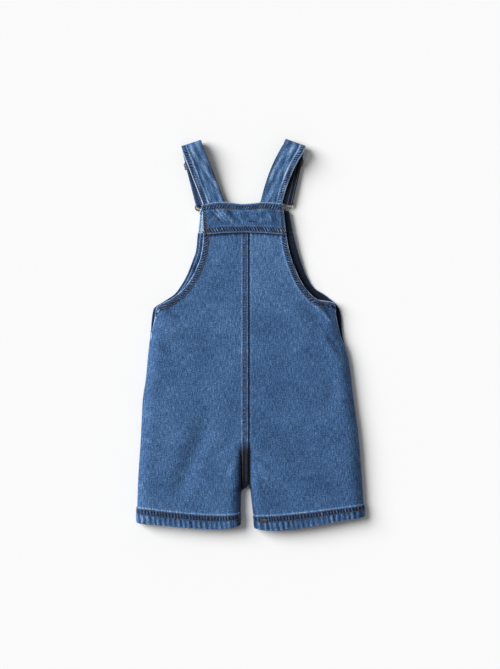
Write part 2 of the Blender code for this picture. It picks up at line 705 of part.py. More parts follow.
def main():
    """Make the whole garment."""
    for piece in list(bpy.data.objects):
        bpy.data.objects.remove(piece, do_unlink=True)
    garment = bpy.data.collections.new("Shortalls")
    bpy.context.scene.collection.children.link(garment)
    body = surface("Denim", DENIM_BLUE, roughness=0.85, metallic=0.0)
    metal = surface("Nickel", NICKEL, roughness=0.3, metallic=1.0)

    make_panels(body, garment)
    make_band("back_yoke", YOKE_EDGES, YOKE_COLUMNS, YOKE_Z, DOUBLE, body, garment)
    make_band("front_band", BIB_BAND_EDGES, BIB_BAND_COLUMNS, BIB_Z, BAND_PLY, body, garment)
    for side in ("left", "right"):
        make_strap(side, body, garment)
        make_hook(side, metal, garment)
        make_slider(side, metal, garment)
        make_button(side, metal, garment)


main()
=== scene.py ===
"""Looks of a child's denim shortalls, laid face down on a pale floor with their back up.

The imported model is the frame. Each cloth piece is rebuilt here on the form of its solid,
with finer folds, hems, seam ripples and topstitching, and each metal piece with a finer
form. Sizes are in millimetres, turned to metres where a mesh is placed. +X is to the
right, +Y is towards the shoulders and +Z is up, and the origin is on the floor.
"""

from __future__ import annotations

import logging
import math
from dataclasses import dataclass, field
from enum import Enum
from typing import NamedTuple, Sequence

import bmesh
import bpy
import numpy as np
from mathutils import Matrix, Vector

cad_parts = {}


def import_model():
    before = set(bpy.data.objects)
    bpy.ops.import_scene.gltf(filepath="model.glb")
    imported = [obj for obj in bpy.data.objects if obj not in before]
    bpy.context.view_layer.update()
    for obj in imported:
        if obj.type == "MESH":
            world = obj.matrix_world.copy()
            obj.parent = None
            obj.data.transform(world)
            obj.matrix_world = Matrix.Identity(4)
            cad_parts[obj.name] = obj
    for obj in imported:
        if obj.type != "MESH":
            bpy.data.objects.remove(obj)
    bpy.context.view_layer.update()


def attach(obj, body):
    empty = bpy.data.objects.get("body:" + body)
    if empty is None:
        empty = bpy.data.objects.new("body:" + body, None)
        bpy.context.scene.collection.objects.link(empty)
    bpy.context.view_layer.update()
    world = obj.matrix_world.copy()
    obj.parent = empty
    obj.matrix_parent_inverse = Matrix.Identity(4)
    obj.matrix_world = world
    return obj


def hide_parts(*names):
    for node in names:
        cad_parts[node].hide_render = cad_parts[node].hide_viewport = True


MM = 0.001
LOG = logging.getLogger("shortalls")

# Cloth and seams. The hems are as deep as they look, which is within 1 mm of the solids.
PLY = 1.2
DOUBLE = 2.4
SEAM_GAP = 0.3
FELL_WIDTH = 9.0
ARMHOLE_HEM = 7.6
LEG_HEM = 17.2
HEM_CORNER = 3.0

# Straps and hardware
STRAP_WIDTH = 30.0
STRAP_PLY = 2.2
STRAP_TUCK = 9.0
FOLD_RADIUS = 8.2
WIRE = 2.0
SLIDER_WIDTH = 34.6
SLIDER_HEIGHT = 9.5
SLIDER_THICKNESS = 1.6
SLIDER_BAR = 1.9
BUTTON_RADIUS = 8.5
BUTTON_HEAD = 2.2
SHANK_RADIUS = 2.5
BUTTON_DISTANCE = 24.4

# Levels of the layers where the hooks cross them, from the floor upwards
MAIN_PLY_Z = STRAP_PLY / 2 + 0.05
HOOK_Z = MAIN_PLY_Z + STRAP_PLY / 2 + SEAM_GAP + WIRE / 2
RETURN_PLY_Z = HOOK_Z + WIRE / 2 + SEAM_GAP + STRAP_PLY / 2
TUCK_Z = RETURN_PLY_Z + STRAP_PLY + SEAM_GAP
YOKE_Z = TUCK_Z + STRAP_PLY / 2 + SEAM_GAP
BIB_Z = HOOK_Z + WIRE / 2 + SEAM_GAP + 0.05
BACK_TOP_Z = YOKE_Z - SEAM_GAP - PLY
BAND_PLY = 2.2


class Side(Enum):
    """The left or the right half, as seen from above."""

    LEFT = "left"
    RIGHT = "right"

    @property
    def sign(self) -> float:
        """Which way the half lies from the middle."""
        return -1.0 if self is Side.LEFT else 1.0


class Face(Enum):
    """The face of a cloth that something lies on."""

    UPPER = "upper"
    LOWER = "lower"


class Edge(NamedTuple):
    """A row of a panel: its height at the inner edge and its end on the outer edge."""

    y: float
    x_side: float
    y_side: float


class Inner(NamedTuple):
    """The inner edge of a panel, and where the leg starts to rise beside it."""

    y: float
    x_in: float
    x_wall: float


class BackLevel(NamedTuple):
    """Heights of the inside of the back, and the roll of its outer edge."""

    y: float
    middle: float
    valley: float
    side: float
    roll: float
    fullness: float


class FrontLevel(NamedTuple):
    """Heights of the underside of the front, and how its edges curl up."""

    y: float
    middle: float
    centre: float
    side: float
    fullness: float


class Sag(NamedTuple):
    """How far the rows of a leg sag below the straight line between their ends."""

    y: float
    left: float
    right: float


class Fold(NamedTuple):
    """A soft trough (below 0) or ridge along a straight run."""

    x_from: float
    y_from: float
    x_to: float
    y_to: float
    width: float
    height: float


class BandEdge(NamedTuple):
    """A point on a band's upper edge and the one under it on its lower edge."""

    x_top: float
    y_top: float
    x_bottom: float
    y_bottom: float


class Route(NamedTuple):
    """Places in plan along a strap, from the yoke over the fold to the hook's bar."""

    yoke: tuple[float, float]
    halfway: tuple[float, float]
    fold: tuple[float, float]
    hook: tuple[float, float]
    slider_distance: float


BACK_LEFT_EDGE = (
    Edge(150.8, -66.5, 147.3),
    Edge(142.0, -66.4, 138.5),
    Edge(127.8, -66.6, 127.8),
    Edge(106.8, -69.6, 108.2),
    Edge(88.6, -76.3, 90.0),
    Edge(71.8, -85.8, 72.5),
    Edge(57.8, -97.0, 59.2),
    Edge(45.2, -111.6, 47.8),
    Edge(32.6, -131.2, 35.8),
    Edge(22.8, -133.1, 22.8),
    Edge(8.8, -137.1, 8.1),
    Edge(-5.3, -139.6, -5.3),
    Edge(-16.5, -142.1, -16.5),
    Edge(-64.1, -146.9, -64.1),
    Edge(-92.1, -151.1, -92.1),
    Edge(-148.1, -153.9, -148.1),
    Edge(-206.9, -157.5, -203.0),
    Edge(-253.0, -158.9, -246.6),
    Edge(-266.1, -159.2, -263.4),
)

BACK_RIGHT_EDGE = (
    Edge(150.8, 49.7, 147.3),
    Edge(142.0, 50.6, 138.5),
    Edge(127.8, 51.9, 127.8),
    Edge(106.8, 56.4, 108.2),
    Edge(88.6, 62.9, 90.0),
    Edge(71.8, 71.4, 71.8),
    Edge(57.8, 81.6, 58.0),
    Edge(45.2, 93.9, 47.4),
    Edge(32.6, 117.2, 42.4),
    Edge(22.8, 119.7, 25.6),
    Edge(8.8, 123.3, 8.1),
    Edge(-5.3, 127.1, -5.3),
    Edge(-16.5, 132.3, -16.5),
    Edge(-38.9, 137.9, -38.9),
    Edge(-92.1, 144.6, -92.1),
    Edge(-148.1, 151.9, -147.0),
    Edge(-206.9, 155.8, -198.0),
    Edge(-240.5, 157.8, -227.0),
    Edge(-255.7, 158.9, -240.9),
    Edge(-269.9, 159.9, -254.5),
)

FRONT_LEFT_EDGE = (
    Edge(142.2, -73.8, 141.5),
    Edge(118.0, -76.2, 118.0),
    Edge(102.0, -81.5, 102.0),
    Edge(84.0, -88.6, 84.0),
    Edge(68.0, -97.6, 68.0),
    Edge(55.0, -106.5, 56.4),
    Edge(43.0, -120.8, 46.6),
    Edge(31.0, -135.9, 35.8),
    Edge(22.8, -138.4, 24.0),
    Edge(8.8, -139.9, 8.8),
    Edge(-5.3, -141.0, -5.3),
) + BACK_LEFT_EDGE[12:]

FRONT_RIGHT_EDGE = (
    Edge(142.3, 59.5, 142.9),
    Edge(118.0, 65.8, 118.0),
    Edge(98.4, 72.1, 98.4),
    Edge(80.4, 79.2, 80.4),
    Edge(64.3, 89.9, 64.3),
    Edge(54.0, 102.5, 56.4),
    Edge(44.0, 113.1, 48.4),
    Edge(36.0, 121.2, 41.2),
    Edge(29.0, 126.0, 32.0),
    Edge(19.1, 128.1, 19.1),
    Edge(4.8, 129.2, 4.8),
    Edge(-7.0, 130.3, -7.0),
) + BACK_RIGHT_EDGE[12:]

LEFT_INNER = (
    Inner(151.0, -2.55, -13.95),
    Inner(-209.0, -2.55, -13.95),
    Inner(-212.5, -4.6, -14.1),
    Inner(-215.0, -8.6, -14.3),
    Inner(-217.5, -12.0, -14.5),
    Inner(-222.0, -14.2, -14.6),
    Inner(-230.0, -14.6, -14.9),
    Inner(-270.0, -15.2, -15.5),
)

RIGHT_INNER = (
    Inner(151.0, -2.25, -0.05),
    Inner(-190.0, -2.25, 0.2),
    Inner(-209.0, -2.25, 0.7),
    Inner(-212.5, -1.6, 1.0),
    Inner(-215.0, -0.6, 1.2),
    Inner(-217.5, 0.5, 1.4),
    Inner(-222.0, 1.3, 1.7),
    Inner(-230.0, 2.3, 2.6),
    Inner(-270.0, 6.7, 7.0),
)

BACK_LEVELS = (
    BackLevel(150.8, BACK_TOP_Z, BACK_TOP_Z, BACK_TOP_Z - 0.2, 8.0, 1.0),
    BackLevel(139.0, BACK_TOP_Z, BACK_TOP_Z, BACK_TOP_Z - 0.3, 8.0, 1.0),
    BackLevel(127.8, 8.7, 8.7, 8.2, 8.0, 1.0),
    BackLevel(106.8, 9.3, 9.3, 8.0, 9.0, 1.0),
    BackLevel(71.8, 10.8, 10.8, 8.2, 10.0, 1.0),
    BackLevel(45.2, 12.2, 12.2, 8.8, 12.0, 1.0),
    BackLevel(32.6, 12.8, 12.8, 8.8, 14.0, 1.0),
    BackLevel(8.8, 13.8, 13.8, 7.4, 17.0, 0.9),
    BackLevel(-5.3, 14.3, 14.3, 6.2, 18.0, 0.7),
    BackLevel(-16.5, 14.8, 14.8, 4.9, 18.0, 0.5),
    BackLevel(-64.1, 16.0, 16.0, 4.9, 18.0, 0.5),
    BackLevel(-122.9, 16.8, 16.8, 4.9, 18.0, 0.5),
    BackLevel(-148.1, 17.0, 17.0, 4.9, 18.0, 0.5),
    BackLevel(-158.0, 17.0, 15.6, 4.9, 18.0, 0.5),
    BackLevel(-170.0, 17.0, 12.6, 4.9, 18.0, 0.5),
    BackLevel(-182.0, 16.9, 9.6, 4.9, 18.0, 0.5),
    BackLevel(-194.0, 16.8, 7.2, 4.9, 18.0, 0.5),
    BackLevel(-209.0, 16.6, 4.9, 4.9, 18.0, 0.5),
    BackLevel(-270.0, 15.6, 4.9, 4.9, 18.0, 0.5),
)

FRONT_LEVELS = (
    FrontLevel(143.0, BIB_Z, 0.0, 0.0, 1.0),
    FrontLevel(135.0, BIB_Z, 0.0, 0.0, 1.0),
    FrontLevel(118.0, 4.1, 0.0, 0.0, 1.0),
    FrontLevel(102.0, 3.1, 0.0, 0.0, 1.0),
    FrontLevel(84.0, 1.8, 0.0, 0.0, 1.0),
    FrontLevel(68.0, 0.7, 0.0, 0.1, 1.0),
    FrontLevel(55.0, 0.1, 0.0, 0.3, 1.0),
    FrontLevel(45.0, 0.0, 0.0, 0.6, 1.0),
    FrontLevel(31.0, 0.0, 0.0, 1.2, 1.0),
    FrontLevel(8.8, 0.0, 0.0, 2.2, 0.9),
    FrontLevel(-5.3, 0.0, 0.0, 3.0, 0.7),
    FrontLevel(-16.5, 0.0, 0.0, 4.6, 0.5),
    FrontLevel(-190.0, 0.0, 0.0, 4.6, 0.5),
    FrontLevel(-212.0, 0.0, 4.6, 4.6, 0.5),
    FrontLevel(-270.0, 0.0, 4.6, 4.6, 0.5),
)
FRONT_ROLL = 9.0

LEG_SAG = (
    Sag(-190.0, 0.0, 0.0),
    Sag(-225.0, 2.5, 1.3),
    Sag(-254.0, 5.5, 3.0),
    Sag(-266.1, 6.9, 6.5),
    Sag(-269.9, 6.9, 8.0),
)

# Main folds of the back
BACK_FOLDS = (
    Fold(-54.0, -108.0, -106.0, -238.0, 13.0, -3.2),
    Fold(-84.0, -118.0, -128.0, -215.0, 13.0, 1.0),
    Fold(-47.0, 38.0, -57.0, -80.0, 22.0, -1.4),
    Fold(-50.0, 128.0, -66.0, 82.0, 9.0, -1.0),
    Fold(-126.0, 22.0, -102.0, -6.0, 12.0, 1.4),
    Fold(-22.0, -150.0, -62.0, -178.0, 9.0, -1.2),
    Fold(10.0, -150.0, 52.0, -180.0, 9.0, -1.2),
    Fold(74.0, 46.0, 104.0, 14.0, 11.0, -1.7),
    Fold(58.0, 36.0, 92.0, 0.0, 12.0, 1.2),
    Fold(117.0, -48.0, 112.0, -108.0, 10.0, -1.4),
    Fold(69.0, -122.0, 84.0, -172.0, 10.0, -1.1),
    Fold(54.0, -150.0, 66.0, -220.0, 12.0, -0.9),
)

# Small creases of the back, each from a zoomed look at the garment
BACK_CREASES = (
    Fold(-40.0, 136.0, -34.0, 112.0, 3.0, 0.35),
    Fold(-14.0, 138.0, -20.0, 118.0, 3.5, -0.3),
    Fold(22.0, 138.0, 30.0, 114.0, 3.0, 0.3),
    Fold(84.0, 48.0, 122.0, 6.0, 2.2, 0.9),
    Fold(95.0, 46.0, 129.0, 8.0, 5.5, -1.5),
    Fold(104.0, 30.0, 112.0, 16.0, 1.6, 0.6),
    Fold(110.0, 32.0, 118.0, 14.0, 1.6, 0.5),
    Fold(104.0, 0.0, 128.0, -34.0, 5.0, -0.8),
    Fold(96.0, 6.0, 116.0, -30.0, 5.0, 0.5),
    Fold(-120.0, 38.0, -96.0, 20.0, 3.5, -0.5),
    Fold(-132.0, -8.0, -110.0, -30.0, 4.5, -0.5),
    Fold(-18.0, -172.0, -34.0, -206.0, 4.0, 0.5),
    Fold(8.0, -176.0, 26.0, -208.0, 4.0, 0.5),
)

# Creases of the yoke
YOKE_CREASES = (
    Fold(-58.0, 178.0, -36.0, 156.0, 1.5, 0.45),
    Fold(-50.0, 178.0, -30.0, 154.0, 1.4, 0.5),
    Fold(-42.0, 174.0, -24.0, 155.0, 1.6, 0.35),
    Fold(-54.0, 172.0, -40.0, 156.0, 1.8, -0.45),
    Fold(-34.0, 176.0, -20.0, 160.0, 2.0, -0.4),
    Fold(-7.0, 158.0, 9.0, 157.0, 1.2, -0.4),
    Fold(-16.0, 166.0, -10.0, 154.0, 1.6, 0.3),
    Fold(12.0, 174.0, 16.0, 156.0, 1.6, 0.35),
    Fold(22.0, 174.0, 30.0, 158.0, 1.8, 0.3),
    Fold(34.0, 176.0, 32.0, 156.0, 2.4, -0.3),
)

# How much lighter a crease is worn for each millimetre that it stands up
CREASE_WEAR = 0.5

# Where the folds and hems fade out: each pair is where a form is gone and where it is full
CALM_SIDE = (6.0, 26.0)
CALM_SEAM = (14.0, 26.0)
CALM_YOKE = (138.0, 122.0)
BACK_HEM_FADE = (-14.0, -3.0)
FRONT_HEM_FADE = (-14.0, 6.0)

# Heights of the yoke's lap over the back, the corner under the arm and the last stitch of
# the felled seam
YOKE_LAP = 142.0
UNDERARM = 32.6
SEAM_SEWN_TO = -206.0

# The crotch: the centre seam ends at the first height, and below the second one each leg
# has its own inside seam, whose wall stands up from it by the rise
CROTCH_TOP = -209.0
CROTCH_END = -222.0
INSEAM_RISE = 2.4
WALL_ROLL = 13.0
HEM_BOTTOM = {Side.LEFT: -266.1, Side.RIGHT: -269.9}

YOKE_EDGES = (
    BandEdge(-68.4, 180.6, -66.1, 139.2),
    BandEdge(-54.0, 184.2, -52.0, 140.2),
    BandEdge(-38.6, 185.6, -38.0, 141.6),
    BandEdge(-11.2, 181.9, -10.0, 142.7),
    BandEdge(17.5, 185.0, 18.0, 141.9),
    BandEdge(32.0, 184.4, 35.0, 140.4),
    BandEdge(45.4, 182.4, 50.4, 139.2),
)

BIB_BAND_EDGES = (
    BandEdge(-70.7, 175.0, -73.8, 141.8),
    BandEdge(-8.0, 173.4, -8.0, 142.6),
    BandEdge(53.9, 172.6, 59.5, 143.2),
)

STRAP_ROUTES = {
    Side.LEFT: Route((-51.8, 184.1), (-67.5, 225.4), (-83.3, 266.6), (-62.1, 184.0), 56.5),
    Side.RIGHT: Route((29.5, 185.7), (42.4, 226.3), (62.9, 267.6), (44.4, 187.2), 57.6),
}
RETURN_PAST_SLIDER = 7.0

# Half of the wire hook, from the middle of its strap bar round to the end of its narrow
# button loop: distance from its centre line, then distance from the bar
HOOK_HALF = (
    (0.0, 0.0), (8.0, 0.0), (15.0, 0.0), (16.3, 0.8), (16.5, 2.5), (16.3, 5.0),
    (15.0, 6.8), (12.5, 7.5), (9.6, 7.9), (8.0, 9.2), (6.8, 12.0), (5.4, 16.5),
    (4.4, 21.0), (4.2, 24.0), (3.6, 26.2), (2.1, 27.7), (0.0, 28.2),
)

# Steps of a grid next to a free edge, where the cloth turns round
EDGE_STEPS = (0.0, 0.12, 0.35, 0.7, 1.15, 1.7)

# Columns across the floor of the centre seam, on the felled left half and the plain right one
FELLED_FLOOR = (
    0.0, 0.12, 0.35, 0.7, 1.2, 1.9, 2.8, 3.6, 4.4, 5.4, 6.4, 7.4, 8.3, 8.8, 9.3, 9.9, 10.6)
PLAIN_FLOOR = (0.0, 0.12, 0.35, 0.7, 1.2, 1.7)

# Topstitching
STITCH_PITCH = 3.0
STITCH_LENGTH = 2.5
THREAD_WIDTH = 0.75
THREAD_HEIGHT = 0.5
RIPPLE_PITCH = 3.7
HEM_RIPPLE_PITCH = 4.2
BAR_TACK = (19.6, -259.4)
TACK_WIDTH = 7.6
TACK_HEIGHT = 2.2
TACK_PITCH = 0.8

# Camera and light. The photograph's long side takes in this length of the floor.
VIEW_LENGTH = 936.6
VIEW_CENTRE = (-0.7, -0.35)
VIEW_PLANE_Z = 8.0
LENS = 135.0
SENSOR = 36.0


def read_curve(table: Sequence[NamedTuple], column: str, heights: np.ndarray) -> np.ndarray:
    """Read a column of a table at some heights, on a smooth curve that never overshoots.

    Args:
        table: rows with a height y and named values.
        column: the name of the value.
        heights: where to read it.

    Returns:
        The value at each height.
    """
    rows = sorted(table, key=lambda row: row.y)
    keys = np.array([row.y for row in rows])
    values = np.array([getattr(row, column) for row in rows])
    heights = np.clip(heights, keys[0], keys[-1])
    spans = np.diff(keys)
    slopes = np.diff(values) / spans
    tangents = np.zeros(len(keys))
    tangents[0] = slopes[0]
    tangents[-1] = slopes[-1]
    for k in range(1, len(keys) - 1):
        if slopes[k - 1] * slopes[k] > 0.0:
            tangents[k] = 2.0 / (1.0 / slopes[k - 1] + 1.0 / slopes[k])
    k = np.clip(np.searchsorted(keys, heights, side="right") - 1, 0, len(spans) - 1)
    t = (heights - keys[k]) / spans[k]
    start = (1.0 + 2.0 * t) * (1.0 - t) ** 2 * values[k]
    start += t * (1.0 - t) ** 2 * spans[k] * tangents[k]
    end = t * t * (3.0 - 2.0 * t) * values[k + 1]
    end -= t * t * (1.0 - t) * spans[k] * tangents[k + 1]
    return start + end


def ease(low: float, high: float, value: np.ndarray | float) -> np.ndarray:
    """Go softly from 0 at low to 1 at high.

    Args:
        low: where the result is 0.
        high: where the result is 1.
        value: the places to work it out for.

    Returns:
        The share at each place.
    """
    t = np.clip((value - low) / (high - low), 0.0, 1.0)
    return t * t * (3.0 - 2.0 * t)


def band_of(value: np.ndarray, low: float, high: float, soft: float) -> np.ndarray:
    """Give 1 between low and high, and fade to 0 over a soft width outside them.

    Args:
        value: the places to work it out for.
        low: the lower end of the band.
        high: the upper end of the band.
        soft: the width of the fade.

    Returns:
        The share at each place.
    """
    return ease(low - soft, low, value) * (1.0 - ease(high, high + soft, value))


def ridge(value: np.ndarray, centre: float, width: float) -> np.ndarray:
    """Give a soft bump of height 1.

    Args:
        value: the places to work it out for.
        centre: where the bump is highest.
        width: its half width.

    Returns:
        The height at each place.
    """
    return np.exp(-((value - centre) / width) ** 2)


def roll_off(distance: np.ndarray, width: np.ndarray | float,
             fullness: np.ndarray | float) -> np.ndarray:
    """Height of a rolled edge, from 0 at the edge to 1 at the given width from it.

    Args:
        distance: how far each place is from the edge.
        width: where the roll ends.
        fullness: 0.5 is round and 1.0 droops gently.

    Returns:
        The share of the full height at each place.
    """
    t = np.clip(distance / width, 0.0, 1.0)
    return (1.0 - (1.0 - t) ** 2) ** fullness


def round_edge(distance: np.ndarray, half: np.ndarray | float) -> np.ndarray:
    """Share of the full thickness next to a free edge, as a half round.

    Args:
        distance: how far each place is from the edge.
        half: half of the cloth's thickness.

    Returns:
        The share at each place, never quite 0.
    """
    t = np.clip(distance / half, 0.0, 1.0)
    return np.maximum(np.sqrt(1.0 - (1.0 - t) ** 2), 0.22)


def corner_inset(above_hem: np.ndarray) -> np.ndarray:
    """How far the worn, rounded corner of a leg's hem lies inside the leg's outline.

    Args:
        above_hem: heights above the hem's fold.

    Returns:
        The inset at each height.
    """
    t = np.clip(above_hem / HEM_CORNER, 0.0, 1.0)
    return HEM_CORNER * (1.0 - np.sqrt(1.0 - (1.0 - t) ** 2))


def fold_height(folds: Sequence[Fold], x: np.ndarray, y: np.ndarray) -> np.ndarray:
    """Sum of some folds at places of a cloth.

    Args:
        folds: the troughs and ridges.
        x: the places' distances to the right.
        y: the places' distances upwards.

    Returns:
        The height that the folds add at each place.
    """
    total = np.zeros(np.broadcast(x, y).shape)
    for fold in folds:
        run = (fold.x_to - fold.x_from, fold.y_to - fold.y_from)
        length = math.hypot(*run)
        along = ((x - fold.x_from) * run[0] + (y - fold.y_from) * run[1]) / length ** 2
        aside = (run[0] * (y - fold.y_from) - run[1] * (x - fold.x_from)) / length
        taper = ease(-0.15, 0.3, along) * (1.0 - ease(0.7, 1.15, along))
        total += fold.height * taper * np.exp(-(aside / fold.width) ** 2)
    return total


def uneven(x: np.ndarray, y: np.ndarray, size: float, seed: int) -> np.ndarray:
    """Soft, irregular hills and hollows about a size across, from about -1 to 1.

    Args:
        x: the places' first coordinates.
        y: the places' second coordinates.
        size: about how wide a hill is.
        seed: the number that makes this one different from others.

    Returns:
        The height at each place.
    """
    waves = 9
    random = np.random.default_rng(seed)
    angles = random.uniform(0.0, math.pi, waves)
    lengths = size * random.uniform(1.3, 3.2, waves)
    phases = random.uniform(0.0, 2.0 * math.pi, waves)
    total = np.zeros(np.broadcast(x, y).shape)
    for angle, length, phase in zip(angles, lengths, phases):
        total += np.sin((x * math.cos(angle) + y * math.sin(angle)) * 2.0 * math.pi / length + phase)
    return total / math.sqrt(2.0 * waves)


def ripple(along: np.ndarray, pitch: float, seed: int) -> np.ndarray:
    """The ripple of a puckered seam, with an uneven pitch and strength.

    Args:
        along: distances along the seam.
        pitch: the mean distance between two ridges.
        seed: the number that makes this one different from others.

    Returns:
        The ripple's height at each place, from about -1 to 1.
    """
    drift = uneven(along, along * 0.0, pitch * 1.8, seed)
    strength = 0.85 + 0.4 * uneven(along, along * 0.0, pitch * 1.7, seed + 1)
    return strength * np.sin(2.0 * math.pi * along / pitch + drift)


def measure_from(line: np.ndarray, x: np.ndarray, y: np.ndarray) -> tuple[np.ndarray, np.ndarray]:
    """Measure places of a grid from a line in plan.

    Args:
        line: the line's points, each (x, y).
        x: the places' distances to the right, in rows and columns.
        y: the places' distances upwards.

    Returns:
        Each place's distance from the line, and how far along the line it is.
    """
    start = line[:-1]
    run = np.diff(line, axis=0)
    length = np.linalg.norm(run, axis=1)
    before = np.concatenate(([0.0], np.cumsum(length)))[:-1]
    distance = np.empty_like(x)
    along = np.empty_like(x)
    for k in range(len(x)):
        dx = x[k][:, None] - start[:, 0]
        dy = y[k][:, None] - start[:, 1]
        share = np.clip((dx * run[:, 0] + dy * run[:, 1]) / length ** 2, 0.0, 1.0)
        gap = np.hypot(dx - share * run[:, 0], dy - share * run[:, 1])
        nearest = gap.argmin(axis=1)
        cells = np.arange(len(nearest))
        distance[k] = gap[cells, nearest]
        along[k] = before[nearest] + share[cells, nearest] * length[nearest]
    return distance, along


def beside(line: np.ndarray, distance: float) -> np.ndarray:
    """Shift a line in plan sideways.

    Args:
        line: the line's points, each (x, y).
        distance: how far to its left, as it runs.

    Returns:
        The shifted points.
    """
    ahead = np.gradient(line, axis=0)
    ahead /= np.linalg.norm(ahead, axis=1, keepdims=True)
    return line + distance * np.stack((-ahead[:, 1], ahead[:, 0]), axis=1)


def run_on(line: np.ndarray, distance: float) -> np.ndarray:
    """Run a line in plan straight on past its end.

    Args:
        line: the line's points, each (x, y).
        distance: how much longer it gets.

    Returns:
        The points with the added ones.
    """
    ahead = line[-1] - line[-4]
    ahead = ahead / np.linalg.norm(ahead)
    more = np.linspace(0.0, distance, 13)[1:, None] * ahead
    return np.concatenate((line, line[-1] + more))


def spread(values: Sequence[float]) -> np.ndarray:
    """Turn a sequence into a row of numbers."""
    return np.asarray(values, dtype=float)


def linear(colour: str) -> tuple[float, float, float, float]:
    """Turn an sRGB hex colour to linear.

    Args:
        colour: such as "#4a6f9b".

    Returns:
        Red, green, blue and a full alpha.
    """
    parts = [int(colour[k:k + 2], 16) / 255.0 for k in (1, 3, 5)]
    red, green, blue = (
        part / 12.92 if part <= 0.04045 else ((part + 0.055) / 1.055) ** 2.4 for part in parts)
    return red, green, blue, 1.0


def add_node(tree: bpy.types.NodeTree, kind: str,
             values: dict[str | int, object] | None = None,
             links: dict[str | int, bpy.types.NodeSocket] | None = None,
             **settings: object) -> bpy.types.Node:
    """Add a node with its settings, input values and links.

    Args:
        tree: the material's or world's nodes.
        kind: the node's type.
        values: input values by the input's name or number.
        links: output sockets to link in, by the input's name or number.
        **settings: the node's own properties.

    Returns:
        The node.
    """
    node = tree.nodes.new(kind)
    for name, value in settings.items():
        setattr(node, name, value)
    for name, value in (values or {}).items():
        node.inputs[name].default_value = value
    for name, socket in (links or {}).items():
        tree.links.new(socket, node.inputs[name])
    return node


def new_material(name: str) -> tuple[bpy.types.Material, bpy.types.NodeTree, bpy.types.Node]:
    """Start a material.

    Args:
        name: its name.

    Returns:
        The material, its nodes and its shader.
    """
    material = bpy.data.materials.new(name)
    material.use_nodes = True
    tree = material.node_tree
    return material, tree, tree.nodes["Principled BSDF"]


@dataclass(frozen=True)
class WashedDenim:
    """Indigo cotton twill, stone washed: the blue is left in the hollows and worn off the
    ridges, so seams show light and dark ticks and the plain cloth a soft mottle."""

    name: str
    darkest: str
    deep: str
    middle: str
    light: str
    worn: str
    mottle_size: float = 1.7
    slub_width: float = 1.3
    slub_length: float = 9.0
    twill_pitch: float = 1.9
    cloud_size: float = 45.0
    mottle: float = 1.1
    slubs: float = 0.55
    twill: float = 0.08
    clouds: float = 0.2
    wear_and_shade_weight: float = 0.3
    relief: float = 0.5

    def material(self) -> bpy.types.Material:
        """Make the material. Its patterns follow the cloth's own threads."""
        material, tree, shader = new_material(self.name)
        threads = add_node(tree, "ShaderNodeAttribute", attribute_name="weave")
        wear_and_shade = add_node(tree, "ShaderNodeAttribute", attribute_name="wear_and_shade")

        # The mottle of uneven dye is about as wide as two threads
        mottle = add_node(
            tree, "ShaderNodeTexNoise",
            {"Scale": 1.0 / self.mottle_size, "Detail": 4.0, "Roughness": 0.7},
            {"Vector": threads.outputs["Vector"]})
        # Thick places of the warp yarns run up the cloth as short pale streaks
        slub_place = add_node(
            tree, "ShaderNodeMapping",
            {"Scale": (1.0 / self.slub_width, 1.0 / self.slub_length, 1.0)},
            {"Vector": threads.outputs["Vector"]})
        slubs = add_node(
            tree, "ShaderNodeTexNoise", {"Scale": 1.0, "Detail": 2.0, "Roughness": 0.5},
            {"Vector": slub_place.outputs["Vector"]})
        # The real twill line is 0.6 mm wide, drawn three times as coarse so that it shows
        twill_place = add_node(
            tree, "ShaderNodeMapping", {"Rotation": (0.0, 0.0, math.radians(-28.0))},
            {"Vector": threads.outputs["Vector"]})
        twill = add_node(
            tree, "ShaderNodeTexWave",
            {"Scale": math.pi / 10.0 / self.twill_pitch, "Distortion": 2.5, "Detail": 2.0,
             "Detail Scale": 1.5},
            {"Vector": twill_place.outputs["Vector"]}, bands_direction="X")
        clouds = add_node(
            tree, "ShaderNodeTexNoise", {"Scale": 1.0 / self.cloud_size, "Detail": 2.0},
            {"Vector": threads.outputs["Vector"]})

        # Each pattern swings about 0.5, so the sum of the weights' halves is taken off again
        strengths = ((mottle, self.mottle), (slubs, self.slubs), (twill, self.twill),
                     (clouds, self.clouds))
        total = None
        for pattern, strength in strengths:
            offset = {2: 0.5 - sum(weight for _, weight in strengths) / 2.0} if total is None else {}
            chain = {} if total is None else {2: total.outputs[0]}
            total = add_node(
                tree, "ShaderNodeMath", {1: strength, **offset},
                {0: pattern.outputs["Fac"], **chain}, operation="MULTIPLY_ADD")
        # The wear attribute also holds painted shade and painted light, which move the tone down or up
        # the ramp
        tone = add_node(
            tree, "ShaderNodeMath", {1: self.wear_and_shade_weight}, {0: wear_and_shade.outputs["Fac"], 2: total.outputs[0]},
            operation="MULTIPLY_ADD")
        ramp = add_node(tree, "ShaderNodeValToRGB", links={"Fac": tone.outputs[0]})
        stops = ((0.12, self.darkest), (0.36, self.deep), (0.52, self.middle), (0.68, self.light),
                 (0.95, self.worn))
        ramp.color_ramp.elements[0].position = stops[0][0]
        ramp.color_ramp.elements[0].color = linear(stops[0][1])
        ramp.color_ramp.elements[1].position = stops[-1][0]
        ramp.color_ramp.elements[1].color = linear(stops[-1][1])
        for place, colour in stops[1:-1]:
            ramp.color_ramp.elements.new(place).color = linear(colour)
        tree.links.new(ramp.outputs["Color"], shader.inputs["Base Color"])

        bump = add_node(
            tree, "ShaderNodeBump", {"Strength": 0.5, "Distance": self.relief * MM},
            {"Height": total.outputs[0]})
        tree.links.new(bump.outputs["Normal"], shader.inputs["Normal"])
        shader.inputs["Roughness"].default_value = 0.86
        shader.inputs["Specular IOR Level"].default_value = 0.25
        shader.inputs["Sheen Weight"].default_value = 0.12
        shader.inputs["Sheen Roughness"].default_value = 0.45
        return material


